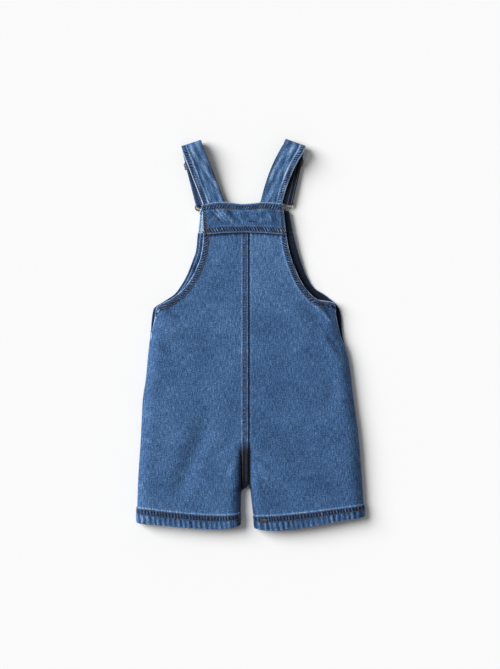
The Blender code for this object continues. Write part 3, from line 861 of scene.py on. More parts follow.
@dataclass(frozen=True)
class CottonThread:
    """Sewing thread of twisted cotton, whose dye the wash has dulled and faded in places."""

    name: str
    base: str
    faded: str
    twist_pitch: float = 0.5

    def material(self) -> bpy.types.Material:
        """Make the material, with faded lengths and the twist of the thread."""
        material, tree, shader = new_material(self.name)
        place = add_node(tree, "ShaderNodeTexCoord")
        fade = add_node(
            tree, "ShaderNodeTexNoise", {"Scale": 1.0 / (7.0 * MM), "Detail": 2.0},
            {"Vector": place.outputs["Object"]})
        mix = add_node(
            tree, "ShaderNodeMix", {"A": linear(self.base), "B": linear(self.faded)},
            {"Factor": fade.outputs["Fac"]}, data_type="RGBA")
        tree.links.new(mix.outputs["Result"], shader.inputs["Base Color"])
        twist = add_node(
            tree, "ShaderNodeTexWave", {"Scale": math.pi / 10.0 / (self.twist_pitch * MM)},
            {"Vector": place.outputs["Object"]}, bands_direction="DIAGONAL")
        bump = add_node(
            tree, "ShaderNodeBump", {"Strength": 0.4, "Distance": 0.1 * MM},
            {"Height": twist.outputs["Fac"]})
        tree.links.new(bump.outputs["Normal"], shader.inputs["Normal"])
        shader.inputs["Roughness"].default_value = 0.7
        return material


@dataclass(frozen=True)
class AntiqueNickel:
    """Nickel plate on steel wire and sheet, tumbled dull, with brownish tarnish."""

    name: str
    bright: str
    tarnished: str
    tarnish_size: float = 4.0

    def material(self) -> bpy.types.Material:
        """Make the material, with patches of tarnish and fine scuffs."""
        material, tree, shader = new_material(self.name)
        place = add_node(tree, "ShaderNodeTexCoord")
        patches = add_node(
            tree, "ShaderNodeTexNoise", {"Scale": 1.0 / (self.tarnish_size * MM), "Detail": 4.0},
            {"Vector": place.outputs["Object"]})
        mix = add_node(
            tree, "ShaderNodeMix", {"A": linear(self.bright), "B": linear(self.tarnished)},
            {"Factor": patches.outputs["Fac"]}, data_type="RGBA")
        tree.links.new(mix.outputs["Result"], shader.inputs["Base Color"])
        gloss = add_node(
            tree, "ShaderNodeMapRange", {"To Min": 0.28, "To Max": 0.5},
            {"Value": patches.outputs["Fac"]})
        tree.links.new(gloss.outputs["Result"], shader.inputs["Roughness"])
        shader.inputs["Metallic"].default_value = 1.0
        return material


@dataclass(frozen=True)
class MattPaper:
    """The smooth pale paper that the garment lies on."""

    name: str
    colour: str

    def material(self) -> bpy.types.Material:
        """Make the material."""
        material, _, shader = new_material(self.name)
        shader.inputs["Base Color"].default_value = linear(self.colour)
        shader.inputs["Roughness"].default_value = 0.95
        shader.inputs["Specular IOR Level"].default_value = 0.0
        return material


@dataclass
class Cloth:
    """A cloth as a grid of places, from which its closed shell is made."""

    name: str
    base: np.ndarray
    thickness: np.ndarray
    weave: np.ndarray
    rounding: np.ndarray
    relief: np.ndarray
    wear_and_shade: np.ndarray
    lift: float = 0.0
    calm_normals: int = 10
    upper_dye_and_shade: float = 0.0
    lower: np.ndarray = field(init=False)
    upper: np.ndarray = field(init=False)
    normals: np.ndarray = field(init=False)

    def __post_init__(self) -> None:
        """Work out the cloth's two faces."""
        down, across = np.gradient(self.base, axis=(0, 1))
        normals = np.cross(across, down)
        normals /= np.linalg.norm(normals, axis=2, keepdims=True) + 1e-9
        for _ in range(self.calm_normals):
            normals = self._calmed(normals)
        if self.lift == 0.0 and normals[:, :, 2].mean() < 0.0:
            normals = -normals
        normals /= np.linalg.norm(normals, axis=2, keepdims=True) + 1e-9
        self.normals = normals
        half = (self.thickness / 2.0)[:, :, None]
        share = self.rounding[:, :, None]
        middle = self.base + normals * (half + self.lift)
        self.lower = middle - normals * half * share
        self.upper = middle + normals * share * (half + self.relief[:, :, None])

    @staticmethod
    def _calmed(values: np.ndarray) -> np.ndarray:
        """Average each place with its neighbours in its row and its column."""
        padded = np.pad(values, ((1, 1), (1, 1), (0, 0)), mode="edge")
        rows = (padded[:-2] + 2.0 * padded[1:-1] + padded[2:]) / 4.0
        return (rows[:, :-2] + 2.0 * rows[:, 1:-1] + rows[:, 2:]) / 4.0

    def at(self, row: np.ndarray, column: np.ndarray,
           face: Face = Face.UPPER) -> tuple[np.ndarray, np.ndarray]:
        """Places and normals between the points of the grid.

        Args:
            row: row numbers, with parts of a row.
            column: column numbers, with parts of a column.
            face: the face to look on.

        Returns:
            The places and the outward normals there.
        """
        rows, columns = self.thickness.shape
        r = np.clip(np.floor(row).astype(int), 0, rows - 2)
        c = np.clip(np.floor(column).astype(int), 0, columns - 2)
        s = (row - r)[:, None]
        t = (column - c)[:, None]

        def blend(values: np.ndarray) -> np.ndarray:
            """Mix the four corners of each cell."""
            first = values[r, c] * (1.0 - t) + values[r, c + 1] * t
            last = values[r + 1, c] * (1.0 - t) + values[r + 1, c + 1] * t
            return first * (1.0 - s) + last * s

        if face is Face.UPPER:
            return blend(self.upper), blend(self.normals)
        return blend(self.lower), -blend(self.normals)

    def over(self, places: np.ndarray, face: Face = Face.UPPER) -> tuple[np.ndarray, np.ndarray]:
        """Lay points of the plan on the cloth, leaving out those that miss it.

        Args:
            places: the points, each (x, y).
            face: the face to look on.

        Returns:
            The places and the outward normals there.
        """
        neighbours = 4
        farthest = 1.2
        softening = 0.02
        skin = self.upper if face is Face.UPPER else self.lower
        turn = 1.0 if face is Face.UPPER else -1.0
        skin = skin.reshape(-1, 3)
        normals = self.normals.reshape(-1, 3) * turn
        laid = []
        outward = []
        for place in places:
            gaps = np.hypot(skin[:, 0] - place[0], skin[:, 1] - place[1])
            near = np.argpartition(gaps, neighbours)[:neighbours]
            if gaps[near].min() > farthest:
                continue
            weights = 1.0 / (gaps[near] ** 2 + softening)
            weights /= weights.sum()
            laid.append((*place, float(weights @ skin[near, 2])))
            outward.append(weights @ normals[near])
        return spread(laid), spread(outward)

    def make(self, material: bpy.types.Material, node: str) -> bpy.types.Object:
        """Build the closed shell, put it in for its solid and give it its finish.

        Args:
            material: the finish.
            node: the solid that it stands for.

        Returns:
            The piece.
        """
        rows, columns = self.thickness.shape
        shell = bmesh.new()
        bmesh.ops.create_grid(shell, x_segments=columns - 1, y_segments=rows - 1, size=1.0)
        underside = list(shell.faces)
        is_upper = shell.verts.layers.int.new("upper")
        weave = shell.verts.layers.float_vector.new("weave")
        wear_and_shade = shell.verts.layers.float.new("wear_and_shade")
        made = bmesh.ops.extrude_face_region(shell, geom=underside)
        for element in made["geom"]:
            if isinstance(element, bmesh.types.BMVert):
                element[is_upper] = 1
        bmesh.ops.reverse_faces(shell, faces=underside)
        faces = (self.lower * MM, self.upper * MM)
        # The upper face is darkened by its dye and by painted shade
        dyes_and_shade = (0.0, self.upper_dye_and_shade)
        for vertex in shell.verts:
            column = round((vertex.co.x + 1.0) / 2.0 * (columns - 1))
            row = round((vertex.co.y + 1.0) / 2.0 * (rows - 1))
            vertex.co = faces[vertex[is_upper]][row, column]
            vertex[weave] = (*self.weave[row, column], 0.0)
            vertex[wear_and_shade] = self.wear_and_shade[row, column] - dyes_and_shade[vertex[is_upper]]
        if shell.calc_volume(signed=True) < 0.0:
            bmesh.ops.reverse_faces(shell, faces=list(shell.faces))
        return place_piece(self.name, finished(self.name, shell), material, node)


def finished(name: str, form: bmesh.types.BMesh) -> bpy.types.Mesh:
    """Turn a form into a mesh and free it.

    Args:
        name: the mesh's name.
        form: the form, which can't be used afterwards.

    Returns:
        The mesh.
    """
    mesh = bpy.data.meshes.new(name)
    form.to_mesh(mesh)
    form.free()
    return mesh


def place_piece(name: str, mesh: bpy.types.Mesh, material: bpy.types.Material,
                node: str | None) -> bpy.types.Object:
    """Put a finished mesh in the scene, on the garment's body.

    Args:
        name: the piece's name.
        mesh: its mesh, already in place.
        material: its finish.
        node: the solid that it stands for, if any.

    Returns:
        The piece.
    """
    piece = bpy.data.objects.new(name, mesh)
    bpy.context.scene.collection.objects.link(piece)
    mesh.materials.append(material)
    mesh.polygons.foreach_set("use_smooth", [True] * len(mesh.polygons))
    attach(piece, "root")
    if node:
        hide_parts(node)
    LOG.info("%s: %d faces", name, len(mesh.polygons))
    return piece


@dataclass
class Stitching:
    """Topstitching of one piece: short raised stitches along rows on its cloth.

    A stitch heads along the row as it runs within a short reach of the stitch's middle. The
    stitches are joined in small lots, because a form gets slow as it grows.
    """

    name: str
    pitch: float = STITCH_PITCH
    reach: float = 0.8
    stand_off: float = 0.02
    lot: int = 24
    stitches: list[Matrix] = field(default_factory=list)

    def sew(self, places: np.ndarray, normals: np.ndarray, length: float = STITCH_LENGTH,
            width: float = THREAD_WIDTH) -> None:
        """Add a row of stitches.

        Args:
            places: points along the row.
            normals: the cloth's normals there.
            length: the length of a stitch.
            width: the width of the thread.
        """
        steps = np.linalg.norm(np.diff(places, axis=0), axis=1)
        along = np.concatenate(([0.0], np.cumsum(steps)))
        count = int(along[-1] / self.pitch)
        for k in range(count):
            centre = (k + 0.5) * along[-1] / count
            point, before, after, normal = (
                Vector([np.interp(centre + shift, along, values[:, axis]) for axis in range(3)])
                for values, shift in ((places, 0.0), (places, -self.reach), (places, self.reach),
                                      (normals, 0.0)))
            ahead = (after - before).normalized()
            aside = normal.cross(ahead).normalized()
            up = ahead.cross(aside)
            axes = (ahead * length / 2.0, aside * width / 2.0, up * THREAD_HEIGHT)
            turned = (Matrix(axes).transposed() * MM).to_4x4()
            self.stitches.append(Matrix.Translation((point + up * self.stand_off) * MM) @ turned)

    def make(self, material: bpy.types.Material) -> bpy.types.Object:
        """Build every stitch.

        Args:
            material: the thread's finish.

        Returns:
            The stitches as one piece.
        """
        thread = bmesh.new()
        turned = Matrix.Rotation(math.pi / 2.0, 4, "Y")
        for first in range(0, len(self.stitches), self.lot):
            some = bmesh.new()
            for frame in self.stitches[first:first + self.lot]:
                bmesh.ops.create_uvsphere(some, u_segments=5, v_segments=6, radius=1.0,
                                          matrix=frame @ turned)
            made = finished("some_stitches", some)
            thread.from_mesh(made)
            bpy.data.meshes.remove(made)
        return place_piece(self.name, finished(self.name, thread), material, None)


@dataclass
class Garment:
    """The finishes that the parts of the garment share."""

    denim: bpy.types.Material
    thread: bpy.types.Material
    strap_thread: bpy.types.Material
    tack_thread: bpy.types.Material
    nickel: bpy.types.Material


@dataclass
class BackPanel:
    """One half of the back, from under the yoke to the leg's hem."""

    side: Side
    edge: Sequence[Edge]
    inner: Sequence[Inner]
    floor: Sequence[float]
    flat: tuple[float, float]
    area: float
    middle_columns: int = 96
    seam_rows: tuple[float, float] = (3.6, 8.4)
    armhole_rows: tuple[float, float] = (2.0, 7.0)
    hem_rows: tuple[float, float] = (15.4, 9.4)
    cloth: Cloth = field(init=False)
    armhole_line: np.ndarray = field(init=False)
    from_in: np.ndarray = field(init=False)

    def heights(self) -> np.ndarray:
        """Heights of the rows at their inner ends, from the top down."""
        bottom = HEM_BOTTOM[self.side]
        hem_top = bottom + LEG_HEM
        return np.concatenate((
            np.arange(self.edge[0].y, -20.0, -1.2),
            np.arange(-20.0, -200.0, -2.4),
            np.arange(-200.0, -228.0, -1.4),
            np.arange(-228.0, hem_top + 6.0, -2.2),
            np.arange(hem_top + 6.0, bottom + 2.4, -0.9),
            bottom + spread(EDGE_STEPS[::-1])))

    def columns(self, width: np.ndarray) -> np.ndarray:
        """Distances of the columns from the foot of the leg's wall, for each row's width."""
        first = spread((0.0, 0.4, 0.9, 1.6, 2.4, 3.4, 4.6, 6.0, 7.6, 9.4, 11.2, 13.0))
        last = np.concatenate((np.arange(18.0, 2.0, -0.9), spread(EDGE_STEPS[::-1])))
        shares = np.linspace(0.0, 1.0, self.middle_columns + 2)[1:-1]
        middle = first[-1] + (width - last[0] - first[-1]) * shares
        rows = np.ones_like(width)
        return np.hstack((rows * first, middle, width - last))

    def shape(self) -> None:
        """Work out the panel's cloth."""
        left = self.side is Side.LEFT
        sign = self.side.sign
        bottom = HEM_BOTTOM[self.side]
        row = self.heights()[:, None]
        middle, valley, low_side, roll, fullness = (
            read_curve(BACK_LEVELS, name, row) for name in BackLevel._fields[1:])
        seamed = 1.0 - ease(0.5, 0.9, fullness)
        x_in = read_curve(self.inner, "x_in", row)
        x_wall = read_curve(self.inner, "x_wall", row)
        x_out = read_curve(self.edge, "x_side", row) - sign * PLY * seamed
        y_out = read_curve(self.edge, "y_side", row)
        x_out -= sign * corner_inset(row - bottom)
        leg = ease(CROTCH_TOP, CROTCH_END, row)

        # The floor of the seam turns into the steep inside of the leg below the crotch
        floor_width = np.abs(x_wall - x_in)
        full_floor = abs(self.inner[0].x_wall - self.inner[0].x_in)
        share = spread(self.floor)[None, :] / full_floor
        wall_width = np.abs(x_out - x_wall)
        reach = self.columns(wall_width)
        foot = valley + INSEAM_RISE * leg
        wall = foot + (middle - foot) * roll_off(reach, WALL_ROLL, 0.5)
        wall -= (middle - low_side) * (1.0 - roll_off(wall_width - reach, roll, fullness))
        x = np.hstack((x_in + sign * floor_width * share, x_wall + sign * reach))
        z = np.hstack((valley + INSEAM_RISE * leg * share, wall))
        from_in = np.hstack((floor_width * share, floor_width + reach))
        from_out = np.abs(x_out - x)

        u = np.clip((x - x_in) / (x_out - x_in), 0.0, 1.0)
        y = row + (y_out - row) * u
        y -= read_curve(LEG_SAG, self.side.value, row) * np.sin(math.pi * u ** 0.6)
        above_hem = row - bottom
        scallop = ridge(above_hem, 0.0, 4.0) * (0.5 + 0.5 * ripple(x, HEM_RIPPLE_PITCH * 1.6, 31))
        y -= 0.45 * scallop
        calm = ease(*CALM_SIDE, from_out) * ease(*CALM_SEAM, from_in) * ease(*CALM_YOKE, row)
        z += calm * fold_height(BACK_FOLDS, x, y)
        small_calm = ease(2.0, 12.0, from_out) * ease(10.0, 16.0, from_in) * ease(3.0, 20.0, above_hem)
        creases = small_calm * fold_height(BACK_CREASES, x, y)
        z += creases
        z += small_calm * (0.35 * uneven(x, y * 0.6, 26.0, 5) + 0.1 * uneven(x, y, 8.0, 6))

        heights = row[:, 0]
        edge_line = np.stack((x[:, -1], y[:, -1]), axis=1)
        self.armhole_line = run_on(edge_line[heights > UNDERARM], 16.0)
        from_armhole, along_armhole = measure_from(self.armhole_line, x, y)
        from_edge, _ = measure_from(edge_line[heights > BACK_HEM_FADE[0]], x, y)
        from_edge = np.where(row > BACK_HEM_FADE[0], from_edge, from_out)

        open_edge = ease(*BACK_HEM_FADE, row) * (1.0 - ease(YOKE_LAP, YOKE_LAP + 1.5, row))
        shown = 1.0 - ease(YOKE_LAP, YOKE_LAP + 1.5, row)
        hem = 1.0 - ease(LEG_HEM, LEG_HEM + 1.0, above_hem)
        armhole = open_edge * (1.0 - ease(ARMHOLE_HEM, ARMHOLE_HEM + 1.0, from_armhole))
        fell = (1.0 - ease(FELL_WIDTH, FELL_WIDTH + 0.8, from_in)) * (1.0 - leg) * shown
        fell = fell * (1.0 if left else 0.0)
        thickness = PLY + (DOUBLE - PLY) * np.maximum(np.maximum(hem, armhole), fell)

        half = thickness / 2.0
        outer_round = round_edge(from_edge, half)
        rounding = outer_round + (1.0 - outer_round) * seamed
        rounding = rounding * round_edge(from_in, half) * round_edge(above_hem, half)
        relief, wear_and_shade = self.surface(x, y, row, from_in, from_edge, from_armhole, along_armhole,
                                    above_hem, open_edge, leg)
        wear_and_shade += CREASE_WEAR * creases
        relief = relief * shown
        weave = np.stack((x, y), axis=2)
        base = np.stack((x, y, z), axis=2)
        self.from_in = from_in
        self.cloth = Cloth(f"back_{self.side.value}_cloth", base, thickness, weave, rounding,
                           relief, wear_and_shade)

    def surface(self, x: np.ndarray, y: np.ndarray, row: np.ndarray, from_in: np.ndarray,
                from_edge: np.ndarray, from_armhole: np.ndarray, along_armhole: np.ndarray,
                above_hem: np.ndarray, open_edge: np.ndarray,
                leg: np.ndarray) -> tuple[np.ndarray, np.ndarray]:
        """Ripples of the sewn edges, where the wash has worn them light or left them dark, and the
        panel's painted shade and light.

        Args:
            x: places to the right.
            y: places upwards.
            row: the rows' heights.
            from_in: distances from the inner edge.
            from_edge: distances from the open outer edge.
            from_armhole: distances from the armhole's edge alone.
            along_armhole: how far along the armhole each place is.
            above_hem: heights above the hem's fold.
            open_edge: 1 where the outer edge is open.
            leg: 1 below the crotch.

        Returns:
            The relief's height, and the wear with painted shade and light, below 0 for darker.
        """
        left = self.side is Side.LEFT

        # The armhole's hem, pulled askew between its two rows of stitches
        askew = ripple(along_armhole + 0.8 * from_armhole, RIPPLE_PITCH, 11)
        between = band_of(from_armhole, 2.8, 6.2, 1.0) * open_edge
        patchy = 0.75 + 0.4 * uneven(x, y, 9.0, 12)
        relief = 0.34 * between * askew
        wear_and_shade = (1.4 * askew - 0.8) * between
        wear_and_shade += 1.25 * band_of(from_edge, 0.0, 0.7, 0.7) * open_edge * patchy
        wear_and_shade += 0.55 * ridge(from_armhole, 8.9, 1.0) * open_edge * (0.5 + 0.6 * askew)
        # Painted shade beside each row of stitches, with the groove that the thread pulls in
        for sewn in self.armhole_rows:
            relief -= 0.18 * ridge(from_armhole, sewn, 0.6) * open_edge
            wear_and_shade -= 0.6 * ridge(from_armhole, sewn, 0.7) * open_edge

        # The corner under the arm is worn
        corner = np.hypot(x - (-129.0 if left else 118.0), y - (32.0 if left else 42.0))
        wear_and_shade += (1.3 if left else 0.6) * ridge(corner, 0.0, 3.2)

        # Painted light and shade across the halves: the left half a little darker, and the right half
        # lighter in its upper part and darker in its lower part
        if left:
            wear_and_shade -= 0.02
        else:
            wear_and_shade += 0.14 * ease(20.0, 90.0, y) - 0.13 * (1.0 - ease(-10.0, 60.0, y))

        # The leg's hem
        top, low = self.hem_rows
        across = x + 0.2 * above_hem + 0.5 * uneven(x, y, 7.0, 20)
        vary = 0.9 + 0.4 * uneven(x, y, 9.0, 22)
        ticks = vary * ripple(across, HEM_RIPPLE_PITCH, 21)
        flutes = vary * ripple(across + 1.3, HEM_RIPPLE_PITCH * 1.7, 23)
        mid_band = band_of(above_hem, low + 0.9, top - 0.9, 0.9)
        low_band = band_of(above_hem, 0.6, low - 1.0, 1.2)
        crest = ridge(above_hem, top + 1.8, 0.9)
        relief += 0.4 * mid_band * ticks + 0.42 * low_band * flutes + 0.25 * crest
        wear_and_shade += 1.3 * mid_band * ticks - 0.8 * mid_band
        wear_and_shade += 0.55 * low_band * flutes - 0.1 * low_band
        wear_and_shade += crest * (0.75 + 0.3 * ripple(across, HEM_RIPPLE_PITCH, 27))
        wear_and_shade += 0.35 * ridge(above_hem, 0.6, 0.9)
        # Painted shade beside each row of stitches, with the groove that the thread pulls in
        for sewn in self.hem_rows:
            relief -= 0.2 * ridge(above_hem, sewn, 0.6)
            wear_and_shade -= 0.6 * ridge(above_hem, sewn, 0.8)

        # The centre seam
        joined = 1.0 - leg
        tucks = ripple(y, RIPPLE_PITCH * 1.1, 41)
        if left:
            first, second = self.seam_rows
            band = band_of(from_in, first + 0.8, second - 0.8, 0.8) * joined
            relief += 0.12 * band * tucks
            wear_and_shade += (0.35 * tucks - 0.3) * band
            wear_and_shade += 0.35 * ridge(from_in, 9.6, 0.8) * joined
            wear_and_shade += 0.35 * ridge(from_in, 1.6, 0.8) * joined
            wear_and_shade -= 1.2 * ridge(from_in, 0.0, 0.8) * joined
            # Painted shade beside each row of stitches
            for sewn in self.seam_rows:
                wear_and_shade -= 0.5 * ridge(from_in, sewn, 0.7) * joined
        else:
            wear_and_shade -= 1.2 * ridge(from_in, 0.0, 1.1) * joined
            wear_and_shade += 0.4 * ridge(from_in, 2.6, 1.4) * joined * (0.7 + 0.4 * tucks)

        # Painted shade: the deep crease above the crotch, where the legs shade it, is darkened
        reach = (7.0, 17.0) if left else (1.5, 5.0)
        crotch_shade = ease(-146.0, -174.0, row) * (1.0 - ease(*reach, from_in)) * (1.0 - 0.8 * leg)
        wear_and_shade -= 1.8 * crotch_shade

        # Gathers that fan out under the yoke
        below = YOKE_LAP - row
        gathers = ripple(x * (1.0 + 0.004 * below) + 1.5 * uneven(x, y, 9.0, 52), 6.0, 51)
        fan = ridge(below, 2.0, 7.0) * (below > 0.0) * (0.6 + 0.5 * uneven(x, y * 0.3, 11.0, 53))
        relief += 0.2 * fan * gathers
        wear_and_shade += 0.4 * fan * gathers
        # Painted shade just below the yoke's edge
        wear_and_shade -= 0.9 * ridge(below, 0.0, 2.2)
        return relief, wear_and_shade

    def sew(self) -> Stitching:
        """Sew the hem, the armhole and, on the left, the felled seam."""
        cloth = self.cloth
        rows, columns = cloth.thickness.shape
        heights = self.heights()
        row_numbers = np.arange(rows)
        column_numbers = np.arange(columns)
        bottom = HEM_BOTTOM[self.side]
        stitching = Stitching(f"back_{self.side.value}_stitches")
        for sewn in self.hem_rows:
            row = np.interp(-(bottom + sewn), -heights, row_numbers)
            span = column_numbers[4:-4].astype(float)
            stitching.sew(*cloth.at(np.full_like(span, row), span))
        for sewn in self.armhole_rows:
            line = beside(self.armhole_line, -self.side.sign * sewn)
            stitching.sew(*cloth.over(line[line[:, 1] < YOKE_LAP - 3.0]))
        if self.side is Side.LEFT:
            sewn_rows = row_numbers[(heights < YOKE_LAP - 1.0) & (heights > SEAM_SEWN_TO)].astype(float)
            for sewn in self.seam_rows:
                column = spread([
                    np.interp(sewn, self.from_in[int(r)], column_numbers) for r in sewn_rows])
                stitching.sew(*cloth.at(sewn_rows, column))
        return stitching

    def make(self, garment: Garment) -> None:
        """Build the panel and its stitches."""
        self.shape()
        piece = self.cloth.make(garment.denim, f"back_{self.side.value}")
        sewn = [self.sew().make(garment.thread)]
        if self.side is Side.RIGHT:
            tack = Stitching("back_right_bar_tack", pitch=TACK_PITCH)
            across = np.linspace(-TACK_WIDTH / 2.0, TACK_WIDTH / 2.0, 12)
            line = spread([(BAR_TACK[0] + shift, BAR_TACK[1] - 0.03 * shift) for shift in across])
            tack.sew(*self.cloth.over(line), length=TACK_PITCH, width=TACK_HEIGHT)
            sewn.append(tack.make(garment.tack_thread))


@dataclass
class FrontPanel:
    """One half of the front, under the back, with its inside showing past the armhole.

    The inside is darker, by its dye and, most on the right half, by painted shade under the back's
    edge, and its armhole is worn along the edge and a sewn row.
    """

    side: Side
    edge: Sequence[Edge]
    inner: Sequence[Inner]
    flat: tuple[float, float]
    area: float
    inside_dye_and_shade: float
    edge_wear: float
    row_wear: float
    middle_columns: int = 46
    armhole_rows: tuple[float, float] = (2.0, 7.0)
    hem_rows: tuple[float, float] = (15.4, 9.4)
    cloth: Cloth = field(init=False)
    armhole_line: np.ndarray = field(init=False)

    def heights(self) -> np.ndarray:
        """Heights of the rows at their inner ends, from the top down."""
        bottom = HEM_BOTTOM[self.side]
        hem_top = bottom + LEG_HEM
        return np.concatenate((
            np.arange(self.edge[0].y, -20.0, -1.5),
            np.arange(-20.0, -204.0, -4.0),
            np.arange(-204.0, -228.0, -1.6),
            np.arange(-228.0, hem_top + 4.0, -3.0),
            np.arange(hem_top + 4.0, bottom + 2.4, -1.2),
            bottom + spread(EDGE_STEPS[::-1])))

    def columns(self, width: np.ndarray) -> np.ndarray:
        """Distances of the columns from the inner edge, for each row's width."""
        first = spread((0.0, 0.05, 0.35, 0.9, 1.8, 3.0, 4.6, 6.6, FRONT_ROLL))
        last = np.concatenate((
            np.arange(FRONT_ROLL + 1.0, 2.0, -0.9), spread((1.7, 1.15, 0.7, 0.35, 0.12, 0.05, 0.0))))
        shares = np.linspace(0.0, 1.0, self.middle_columns + 2)[1:-1]
        middle = first[-1] + (width - last[0] - first[-1]) * shares
        return np.hstack((np.ones_like(width) * first, middle, width - last))

    def shape(self) -> None:
        """Work out the panel's cloth."""
        sign = self.side.sign
        bottom = HEM_BOTTOM[self.side]
        row = self.heights()[:, None]
        middle, centre, high_side, fullness = (
            read_curve(FRONT_LEVELS, name, row) for name in FrontLevel._fields[1:])
        seamed = 1.0 - ease(0.5, 0.9, fullness)
        leg = ease(CROTCH_TOP, CROTCH_END, row)
        x_in = read_curve(self.inner, "x_in", row) - sign * PLY * leg
        x_out = read_curve(self.edge, "x_side", row) - sign * corner_inset(row - bottom)
        y_out = read_curve(self.edge, "y_side", row)
        span = np.abs(x_out - x_in)
        distance = self.columns(span)
        from_out = span - distance
        x = x_in + sign * distance
        u = distance / span
        y = row + (y_out - row) * u
        y -= read_curve(LEG_SAG, self.side.value, row) * np.sin(math.pi * np.clip(u, 0.0, 1.0) ** 0.6)
        z = middle + centre * (1.0 - roll_off(distance, FRONT_ROLL, 0.5))
        z = z + high_side * (1.0 - roll_off(from_out, FRONT_ROLL, fullness))

        above_hem = row - bottom
        heights = row[:, 0]
        edge_line = np.stack((x[:, -1], y[:, -1]), axis=1)
        self.armhole_line = edge_line[heights > FRONT_HEM_FADE[0]]
        from_edge, along_edge = measure_from(self.armhole_line, x, y)
        from_edge = np.where(row > FRONT_HEM_FADE[0], from_edge, from_out)
        open_edge = ease(*FRONT_HEM_FADE, row) + 0.0 * x
        hem = 1.0 - ease(LEG_HEM, LEG_HEM + 1.0, above_hem) + 0.0 * x
        armhole = open_edge * (1.0 - ease(ARMHOLE_HEM, ARMHOLE_HEM + 1.0, from_edge))
        thickness = PLY + np.maximum((DOUBLE - PLY) * hem, (BAND_PLY - PLY) * armhole)
        half = thickness / 2.0
        outer_round = round_edge(from_edge, half)
        rounding = outer_round + (1.0 - outer_round) * seamed
        rounding = rounding * round_edge(above_hem, half)

        askew = ripple(along_edge - 0.9 * from_edge, RIPPLE_PITCH, 61)
        between = band_of(from_edge, 2.6, 6.4, 1.2) * open_edge
        relief = 0.2 * between * askew
        wear_and_shade = 0.5 * between * askew + self.edge_wear * band_of(from_edge, 0.0, 0.7, 0.7) * open_edge
        wear_and_shade += self.row_wear * ridge(from_edge, 3.7, 0.7) * open_edge
        wear_and_shade += 0.15 * uneven(x, y, 12.0, 63)
        relief += 0.1 * uneven(x, y, 9.0, 64) * ease(8.0, 16.0, from_out)
        self.cloth = Cloth(f"front_{self.side.value}_cloth", np.stack((x, y, z), axis=2), thickness,
                           np.stack((x, y), axis=2), rounding, relief, wear_and_shade, upper_dye_and_shade=self.inside_dye_and_shade)

    def sew(self) -> Stitching:
        """Sew the hem and the armhole, whose stitches lie on the outside, beneath."""
        cloth = self.cloth
        rows, columns = cloth.thickness.shape
        heights = self.heights()
        row_numbers = np.arange(rows)
        column_numbers = np.arange(columns)
        bottom = HEM_BOTTOM[self.side]
        stitching = Stitching(f"front_{self.side.value}_stitches")
        for sewn in self.hem_rows:
            row = np.interp(-(bottom + sewn), -heights, row_numbers)
            span = column_numbers[9:-9].astype(float)
            stitching.sew(*cloth.at(np.full_like(span, row), span, Face.LOWER))
        for sewn in self.armhole_rows:
            line = beside(self.armhole_line, -self.side.sign * sewn)
            stitching.sew(*cloth.over(line[2:], Face.LOWER))
        return stitching

    def make(self, garment: Garment) -> None:
        """Build the panel and its stitches."""
        self.shape()
        piece = self.cloth.make(garment.denim, f"front_{self.side.value}")
        stitches = self.sew().make(garment.thread)


